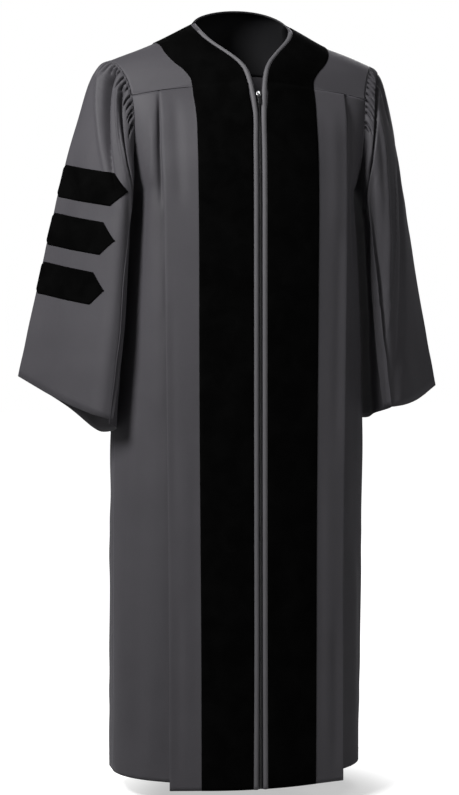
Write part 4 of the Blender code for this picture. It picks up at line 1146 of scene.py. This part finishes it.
def add_slider():
    """The slider: two shaped plates joined at the nose, and the arch that holds the tab."""
    low, high, wide = SLIDER_WIDE_FROM, SLIDER_WIDE_TO, SLIDER_WIDE
    outline = [(-SLIDER_NARROW, -SLIDER_HALF), (SLIDER_NARROW, -SLIDER_HALF), (wide, low), (wide, high)]
    outline += [(SLIDER_TOP, SLIDER_HALF), (-SLIDER_TOP, SLIDER_HALF), (-wide, high), (-wide, low)]
    pieces = []
    for middle in PLATE_PLACES:
        plate = add_plate("slider_plate", outline, PLATE_THICKNESS, "metal", middle)
        pieces.append(bevelled(plate, 0.0004))
    nose = add_plate("slider_nose", NOSE_OUTLINE, NOSE_DEPTH, "metal", NOSE_PLACE)
    pieces.append(bevelled(nose, 0.0003))
    arch = bpy.data.curves.new("slider_arch", "CURVE")
    arch.dimensions = "3D"
    arch.bevel_depth = ARCH_RADIUS
    arch.bevel_resolution = 4
    arch.use_fill_caps = True
    spline = arch.splines.new("NURBS")
    rising = [(ARCH_FOOT, -ARCH_HALF), (ARCH_KNEE, -ARCH_HALF), (ARCH_OUT, -ARCH_HALF)]
    route = [*rising, (ARCH_OUT, 0.0), *[(y, -z) for y, z in reversed(rising)]]
    spline.points.add(len(route) - 1)
    for point, (y, z) in zip(spline.points, route):
        point.co = (0, y, z, 1)
    spline.use_endpoint_u = True
    spline.order_u = 3
    pieces.append(new_object("slider_arch", arch, "metal"))
    slider = join_all("gown_zip_slider", pieces, "metal")
    slider.data.transform(zip_frame(SLIDER_Z))
    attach(slider, "gown")
    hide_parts("zip_slider")


TAB_LENGTH, TAB_HALF_TOP, TAB_HALF_LOW, TAB_THICKNESS = 0.0180, 0.0021, 0.0025, 0.0009
TAB_NARROW_Z, TAB_WIDE_Z, TAB_END_RADIUS = -0.007, -0.010, 0.0025
TAB_TOP_Z, TAB_TOP_RISE, TAB_SHARP_ANGLE = 0.0006, 0.0012, 40
EYE_RADIUS, EYE_LOW_Z, HOLE_RADIUS, HOLE_Z = 0.0012, -0.0050, 0.0010, -0.0152


def half_round(radius_x, middle_z, radius_z, lower=False, steps=9):
    """Points along the upper or lower half of an ellipse, anticlockwise."""
    start = math.pi if lower else 0
    turns = np.linspace(start, start + math.pi, steps)
    return [(radius_x * math.cos(turn), middle_z + radius_z * math.sin(turn)) for turn in turns]


def add_pull_tab():
    """The tab: a tongue that widens downwards, with a long eye at its top and a hole near its end."""
    outline = half_round(TAB_HALF_TOP, TAB_TOP_Z, TAB_TOP_RISE)
    outline += [(-TAB_HALF_TOP, TAB_NARROW_Z), (-TAB_HALF_LOW, TAB_WIDE_Z)]
    outline += half_round(TAB_HALF_LOW, TAB_END_RADIUS - TAB_LENGTH, TAB_END_RADIUS, lower=True, steps=11)
    outline += [(TAB_HALF_LOW, TAB_WIDE_Z), (TAB_HALF_TOP, TAB_NARROW_Z)]
    tab = bevelled(add_plate("tab_plate", outline, TAB_THICKNESS, "dark_metal"), 0.00025)
    eye = half_round(EYE_RADIUS, -EYE_RADIUS, EYE_RADIUS)
    eye += half_round(EYE_RADIUS, EYE_LOW_Z, EYE_RADIUS, lower=True)
    hole = half_round(HOLE_RADIUS, HOLE_Z, HOLE_RADIUS)
    hole += half_round(HOLE_RADIUS, HOLE_Z, HOLE_RADIUS, lower=True)[1:-1]
    cutters = []
    for number, shape in enumerate((eye, hole)):
        cutters.append(add_plate(f"tab_cutter_{number}", shape, 0.004, "dark_metal"))
        cut = tab.modifiers.new(f"Cut {number}", "BOOLEAN")
        cut.operation = "DIFFERENCE"
        cut.object = cutters[-1]
    piece = join_all("gown_zip_pull_tab", [tab], "dark_metal")
    for cutter in cutters:
        bpy.data.objects.remove(cutter, do_unlink=True)
    joint = frame["joints"][0]
    turn = zip_frame(SLIDER_Z).to_3x3().to_4x4()
    piece.data.transform(Matrix.Translation(Vector(joint["pos_m"])) @ turn)
    piece.data.set_sharp_from_angle(angle=math.radians(TAB_SHARP_ANGLE))
    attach(piece, joint["child"])
    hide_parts("zip_pull_tab")


FLOOR_HALF, FLOOR_GREY = 9.0, 0.45
# The floor glows white to the camera alone, a painted brightness, full away from this point; near it the glow
# drops to grey, so the lamps' shadow of the hem shows only there and the glow paints it out further off.
GLOW_CENTRE, GLOW_NEAR, GLOW_FAR, GLOW_LOW, GLOW_HIGH = (0.03, -0.06, FLOOR_Z), 0.17, 0.32, 0.50, 1.0


def add_stage():
    corners = [(x * FLOOR_HALF, y * FLOOR_HALF, FLOOR_Z) for x, y in ((-1, -1), (1, -1), (1, 1), (-1, 1))]
    mesh = bpy.data.meshes.new("floor")
    mesh.from_pydata(corners, [], [(0, 1, 2, 3)])
    material, sockets, make, place = new_material("floor_painted_glow", [FLOOR_GREY] * 3, 0.9)
    away = make("VectorMath", {0: place, 1: GLOW_CENTRE}, operation="DISTANCE").outputs["Value"]
    span = {FROM_LOW: GLOW_NEAR, FROM_HIGH: GLOW_FAR, TO_LOW: GLOW_LOW, TO_HIGH: GLOW_HIGH}
    glow = make("MapRange", {"Value": away, **span}, interpolation_type="SMOOTHSTEP").outputs[0]
    seen = make("LightPath").outputs["Is Camera Ray"]
    sockets["Emission Color"].default_value = (1, 1, 1, 1)
    make("Math", {0: glow, 1: seen}, sockets["Emission Strength"], operation="MULTIPLY")
    mesh.materials.append(material)
    new_object("floor", mesh)


def add_camera():
    data = bpy.data.cameras.new("camera")
    data.lens = CAMERA_LENS
    data.sensor_width = 36.0
    camera = new_object("camera", data)
    camera.location = CAMERA_PLACE
    camera.rotation_euler = (math.radians(90 - CAMERA_DOWN), 0, math.radians(-CAMERA_TURN))
    bpy.context.scene.camera = camera


Light = namedtuple("Light", "name place target size power")
LIGHTS = [
    Light("key", (-1.75, -1.25, 1.0), (0, 0, 0.2), 0.8, 116),
    Light("fill", (1.9, -2.5, 0.3), (0, 0, -0.4), 1.6, 21),
    Light("behind", (1.6, 2.6, 1.2), (0, 0, -0.5), 1.8, 40),
]


def add_lights():
    """Three soft disks of light, in watts, and a room that is white to the camera and dim to the cloth."""
    for row in LIGHTS:
        data = bpy.data.lights.new(row.name, "AREA")
        data.shape = "DISK"
        data.size = row.size
        data.energy = row.power
        light = new_object(row.name, data)
        light.location = row.place
        way = Vector(row.target) - Vector(row.place)
        light.rotation_euler = way.to_track_quat("-Z", "Y").to_euler()
    world = bpy.data.worlds.new("studio")
    world.use_nodes = True
    make = node_maker(world)
    background = world.node_tree.nodes["Background"].inputs
    background["Color"].default_value = (1, 1, 1, 1)
    seen = make("LightPath").outputs["Is Camera Ray"]
    make("MapRange", {"Value": seen, TO_LOW: ROOM_LIGHT, TO_HIGH: 1.0}, background["Strength"])
    bpy.context.scene.world = world
    bpy.context.scene.view_settings.view_transform = "Standard"


add_camera()
add_lights()
add_body()
add_back()
add_sleeves()
add_zip()
add_stage()
